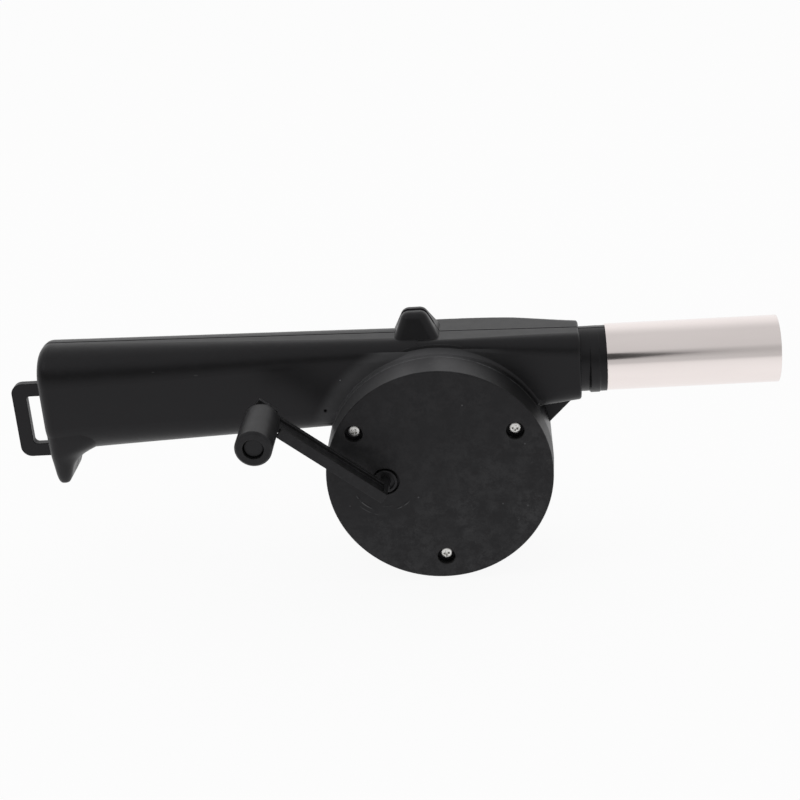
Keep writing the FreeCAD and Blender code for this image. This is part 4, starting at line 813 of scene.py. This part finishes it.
def small_metal(name, dark, light, rough, scale):
    """A metal with patches between two greys or tints and a fine uneven relief."""
    material, tree, shader = new_material(name, Metallic=1.0)
    where = own_place(tree)
    patches = ramp(tree, noise(tree, where, scale, 4.0, 0.65), 0.32, 0.68)
    rim = place_group(tree, edges, Width=0.12 * MM)
    bright = tuple(min(1.0, v * RIM_GAIN) for v in light)
    colour = blend_colour(tree, patches, (*dark, 1.0), (*light, 1.0))
    # Painted highlight and wear: the edges are made brighter than the rest.
    colour = blend_colour(tree, product(tree, rim["Mask"], 0.6), colour, (*bright, 1.0))
    paint(tree, shader, colour, scaled(tree, patches, PATCH_GLOSS, rough))
    grain = noise(tree, where, scale * 5.0, 3.0)
    emboss(tree, shader, 0.35, 0.02 * MM, grain, rim["Rounded"])
    return material


screw_zinc = small_metal("screw_zinc", (0.55, 0.54, 0.52), (0.90, 0.89, 0.87), 0.26, 900.0)
shaft_steel = small_metal("shaft_steel", (0.42, 0.42, 0.43), (0.60, 0.60, 0.61), 0.20, 700.0)
bush_bronze = small_metal("bush_bronze", (0.45, 0.27, 0.11), (0.66, 0.45, 0.22), 0.38, 2400.0)

gear_acetal, tree, shader = new_material(
    "gear_acetal", Subsurface_Weight=0.08, Subsurface_Scale=0.6 * MM, IOR=1.48,
)
surface = place_group(tree, skin, Grain_Depth=0.2)
colour = blend_colour(tree, surface["Patches"], (0.70, 0.67, 0.58, 1.0), (0.80, 0.78, 0.71, 1.0))
paint(tree, shader, colour, scaled(tree, surface["Patches"], PATCH_GLOSS, ACETAL_ROUGH))
emboss(tree, shader, 0.3, 0.04 * MM, surface["Height"])

print("materials:", screw_zinc.name, shaft_steel.name, bush_bronze.name, gear_acetal.name)

# %% [markdown]
# ## Dress the CAD parts
# Each CAD part takes its finish through its object's material slot, and its mesh stays as it is.
# A table from part to material is easier to read and to change than one line per part.

# %% Give every part its finish
FINISH = {
    "front_housing": body_plastic, "rear_housing": body_plastic, "drum_cover": cover_plastic,
    "crank_arm": crank_plastic, "crank_knob": crank_plastic, "impeller": fan_plastic,
    "nozzle_tube": nozzle_steel, "cover_screws": screw_zinc, "housing_screws": screw_zinc,
    "crank_screw": screw_zinc, "crank_washer": screw_zinc, "crank_gear": gear_acetal,
    "idler_gear": gear_acetal, "fan_pinion": gear_acetal, "idler_axle": shaft_steel,
    "idler_washers": shaft_steel, "fan_shaft": shaft_steel, "fan_washers": shaft_steel,
    "impeller_washer": shaft_steel, "impeller_nut": shaft_steel, "partition_bush": bush_bronze,
    "cover_bush": bush_bronze,
}
for part, material in FINISH.items():
    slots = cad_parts[part].data.materials
    slots.clear()
    slots.append(material)

print("dressed", len(FINISH), "of", len(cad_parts), "parts")

# %% [markdown]
# ## The form of the screws
# Three screws hold the cover and five hold the body halves together. On the real object each is a
# pan head with a flatly domed top, sunk in a round well. A cone or a cylinder would have the wrong
# top, so the head and the shank are one profile that is turned about the screw's axis.

# %% Turn a screw's profile about its axis
TIP_FLAT = 0.35
TIP_TAPER = 1.6
SEAT_EDGE = 0.96
SEAT_RISE = 0.08
HEAD_RIM = 0.60
DOME_STEPS = 9
DOME_CORNER = 0.40
DOME_SWELL = 1.3


def turned(name, profile, steps=48):
    """A closed body of revolution about Z from (radius, height) pairs that start and end on it."""
    inner = profile[1:-1]
    points = [(0.0, 0.0, profile[0][1])]
    for radius, height in inner:
        for step in range(steps):
            angle = 2.0 * math.pi * step / steps
            points.append((radius * math.cos(angle), radius * math.sin(angle), height))
    points.append((0.0, 0.0, profile[-1][1]))
    last = len(points) - 1
    top = 1 + (len(inner) - 1) * steps
    faces = []
    for step in range(steps):
        after = (step + 1) % steps
        faces.append((0, 1 + after, 1 + step))
        for row in range(len(inner) - 1):
            low, high = 1 + row * steps, 1 + (row + 1) * steps
            faces.append((low + step, low + after, high + after, high + step))
        faces.append((top + step, top + after, last))
    mesh = bpy.data.meshes.new(name)
    mesh.from_pydata(points, [], faces)
    return mesh


def pan_head(name, screw):
    """A pan head screw along Z: the tip below, the seat at 0, and the domed top."""
    head_r, head = screw["Head Radius"] * MM, screw["Head Height"] * MM
    shank_r, shank = screw["Shank Radius"] * MM, screw["Shank Length"] * MM
    profile = [(0.0, -shank), (shank_r * TIP_FLAT, -shank)]
    profile += [(shank_r, -shank + shank_r * TIP_TAPER), (shank_r, 0.0)]
    profile += [(head_r * SEAT_EDGE, 0.0), (head_r, head * SEAT_RISE), (head_r, head * HEAD_RIM)]
    for step in range(1, DOME_STEPS):
        angle = math.radians(90.0 * step / DOME_STEPS)
        rise = HEAD_RIM + (1.0 - HEAD_RIM) * math.sin(angle) ** DOME_SWELL
        profile.append((head_r * math.cos(angle) ** DOME_CORNER, head * rise))
    profile.append((0.0, head))
    return turned(name, profile)


COVER_SCREW = {
    "Head Radius": 2.15, "Head Height": 1.3, "Shank Radius": 1.05, "Shank Length": 13.0,
    "Recess Length": 2.9, "Recess Width": 0.85, "Recess Depth": 1.6,
}
HOUSING_SCREW = {
    "Head Radius": 2.5, "Head Height": 1.7, "Shank Radius": 1.4, "Shank Length": 10.0,
    "Recess Length": 3.2, "Recess Width": 0.95, "Recess Depth": 2.0,
}
cover_screw_form = pan_head("cover_screw_form", COVER_SCREW)
housing_screw_form = pan_head("housing_screw_form", HOUSING_SCREW)
print("screw form:", len(cover_screw_form.polygons), "faces")

# %% [markdown]
# ## The worn cross recesses
# The cross recess of each real screw is worn open at its edges. The same kind of screw is needed
# eight times, so a Geometry Nodes tree makes it once and sets it on points: the recess is two
# tapered bars that a Boolean takes away, and each point carries the turn of its own recess. The
# tree ends in Realize Instances and Set Material, and the result is stored as a plain mesh.

# %% Cut the cross recess and set the screws on points
TREE_SIZES = ("Recess Length", "Recess Width", "Recess Depth", "Head Height")
RECESS_TAPER = (0.45, 0.7)
SHARP_ANGLE = math.radians(32.0)


def combine(tree, **axes):
    """A vector from its X, Y and Z."""
    return node(tree, "ShaderNodeCombineXYZ", axes).outputs[0]


def recess_bar(tree, given, turn):
    """One bar of the cross, narrower at its lower end, at the top of the head."""
    size = combine(tree, X=given["Recess Length"], Y=given["Recess Width"], Z=given["Recess Depth"])
    bar = node(tree, "GeometryNodeMeshCube", {
        "Size": size, "Vertices X": 2, "Vertices Y": 2, "Vertices Z": 2,
    })
    x, y, z = split_axes(tree, node(tree, "GeometryNodeInputPosition").outputs[0])
    low = node(tree, "FunctionNodeCompare", {0: z, 1: 0.0}, operation="LESS_THAN").outputs[0]
    shrunk = [product(tree, value, share) for value, share in zip((x, y), RECESS_TAPER)]
    tapered = node(tree, "GeometryNodeSetPosition", {
        "Geometry": bar.outputs[0], "Selection": low,
        "Position": combine(tree, X=shrunk[0], Y=shrunk[1], Z=z),
    })
    return node(tree, "GeometryNodeTransform", {
        "Geometry": tapered.outputs[0], "Rotation": (0.0, 0.0, turn),
        "Translation": combine(tree, Z=given["Head Height"]),
    }).outputs[0]


def screw_tree(holder):
    """Geometry Nodes: a cross recess cut in the form, set on each point with its own turn."""
    tree = bpy.data.node_groups.new("set_screws", "GeometryNodeTree")
    face = tree.interface
    face.new_socket(name="Points", in_out="INPUT", socket_type="NodeSocketGeometry")
    sockets = {
        label: face.new_socket(name=label, in_out="INPUT", socket_type=VALUE)
        for label in TREE_SIZES
    }
    sockets["Finish"] = face.new_socket(
        name="Finish", in_out="INPUT", socket_type="NodeSocketMaterial",
    )
    face.new_socket(name="Screws", in_out="OUTPUT", socket_type="NodeSocketGeometry")
    given = tree.nodes.new("NodeGroupInput").outputs
    result = tree.nodes.new("NodeGroupOutput").inputs

    cutter = node(tree, "GeometryNodeMeshBoolean", operation="UNION", solver="EXACT")
    for turn in (0.0, math.pi / 2.0):
        tree.links.new(recess_bar(tree, given, turn), cutter.inputs[1])
    whole = node(tree, "GeometryNodeObjectInfo", {"Object": holder}).outputs["Geometry"]
    cut_form = node(tree, "GeometryNodeMeshBoolean", {
        0: whole, 1: cutter.outputs[0],
    }, operation="DIFFERENCE", solver="EXACT")
    turns = node(
        tree, "GeometryNodeInputNamedAttribute", {"Name": "turn"}, data_type="FLOAT_VECTOR",
    )
    placed = node(tree, "GeometryNodeInstanceOnPoints", {
        "Points": given["Points"], "Instance": cut_form.outputs[0],
        "Rotation": node(tree, "FunctionNodeEulerToRotation", {0: turns.outputs[0]}).outputs[0],
    })
    real = node(tree, "GeometryNodeRealizeInstances", {0: placed.outputs[0]})
    painted = node(tree, "GeometryNodeSetMaterial", {
        "Geometry": real.outputs[0], "Material": given["Finish"],
    })
    tree.links.new(painted.outputs[0], result["Screws"])
    return tree, {label: socket.identifier for label, socket in sockets.items()}


def set_screws(name, form, screw, seat_y, places, lie_down):
    """Screws at places (x, z, turn of the recess), seated on one level of Y, as one plain mesh."""
    points = bpy.data.meshes.new(name + "_points")
    points.from_pydata([(x * MM, seat_y * MM, z * MM) for x, z, _ in places], [], [])
    turn = points.attributes.new("turn", "FLOAT_VECTOR", "POINT")
    for index, (_, _, degrees) in enumerate(places):
        turn.data[index].vector = (lie_down, math.radians(degrees), 0.0)
    piece = bpy.data.objects.new(name, points)
    scene.collection.objects.link(piece)
    holder = bpy.data.objects.new(form.name, form)
    maker = piece.modifiers.new("screws", "NODES")
    maker.node_group, settings = screw_tree(holder)
    for label in TREE_SIZES:
        maker[settings[label]] = screw[label] * MM
    maker[settings["Finish"]] = screw_zinc

    finished = piece.evaluated_get(bpy.context.evaluated_depsgraph_get())
    plain = bpy.data.meshes.new_from_object(finished)
    piece.modifiers.clear()
    piece.data = plain
    plain.name = name
    bpy.data.objects.remove(holder)
    plain.materials.clear()
    plain.materials.append(screw_zinc)
    for face in plain.polygons:
        face.use_smooth = True
    plain.set_sharp_from_angle(angle=SHARP_ANGLE)
    print(name, len(places), "screws,", len(plain.polygons), "faces")
    return piece


print("screw tree ready")

# %% [markdown]
# ## The cover's screws
# The cover's three screws are put in from the front. Their heads end 2 mm below the face, in dark
# wells, and no two recesses are turned alike.

# %% Set the cover's three screws
HEAD_UNDER_FACE = 2.0
TO_FRONT = math.radians(90.0)
COVER_PLACES = ((53.3, -9.2, 38.0), (105.2, -10.7, 8.0), (80.5, -55.1, 82.0))

cover_seat = COVER_FACE / MM + HEAD_UNDER_FACE + COVER_SCREW["Head Height"]
cover_screw_heads = set_screws(
    "cover_screw_heads", cover_screw_form, COVER_SCREW, cover_seat, COVER_PLACES, TO_FRONT,
)
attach(cover_screw_heads, "housing")
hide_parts("cover_screws")

# %% [markdown]
# ## The housing's screws
# The five larger screws are put in from the rear: two in the handle, one in the lobe on top, and
# two low in the drum, on a circle about its axis. The last lines print each set's box beside that
# of the CAD solids that it takes the place of.

# %% Set the housing's five screws
HOUSING_SEAT = 5.5
TO_REAR = math.radians(-90.0)
DRUM_SCREW_CIRCLE = 32.4
DRUM_SCREW_ANGLE = math.radians(55.0)

aside = DRUM_SCREW_CIRCLE * math.sin(DRUM_SCREW_ANGLE)
drum_low = DRUM_Z / MM - DRUM_SCREW_CIRCLE * math.cos(DRUM_SCREW_ANGLE)
housing_places = (
    (-37.0, 0.0, 20.0), (24.0, 0.0, 66.0), (74.7, 17.2, 5.0),
    (DRUM_X / MM - aside, drum_low, 31.0), (DRUM_X / MM + aside, drum_low, 74.0),
)
housing_screw_heads = set_screws(
    "housing_screw_heads", housing_screw_form, HOUSING_SCREW, HOUSING_SEAT, housing_places, TO_REAR,
)
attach(housing_screw_heads, "housing")
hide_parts("housing_screws")

for piece, part in ((cover_screw_heads, "cover_screws"), (housing_screw_heads, "housing_screws")):
    low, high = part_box(part)
    corners = [piece.matrix_world @ Vector(c) for c in piece.bound_box]
    print(part, "CAD", [round(v / MM, 1) for v in (*low, *high)],
          "made", [round(f(c[i] for c in corners) / MM, 1) for f in (min, max) for i in range(3)])
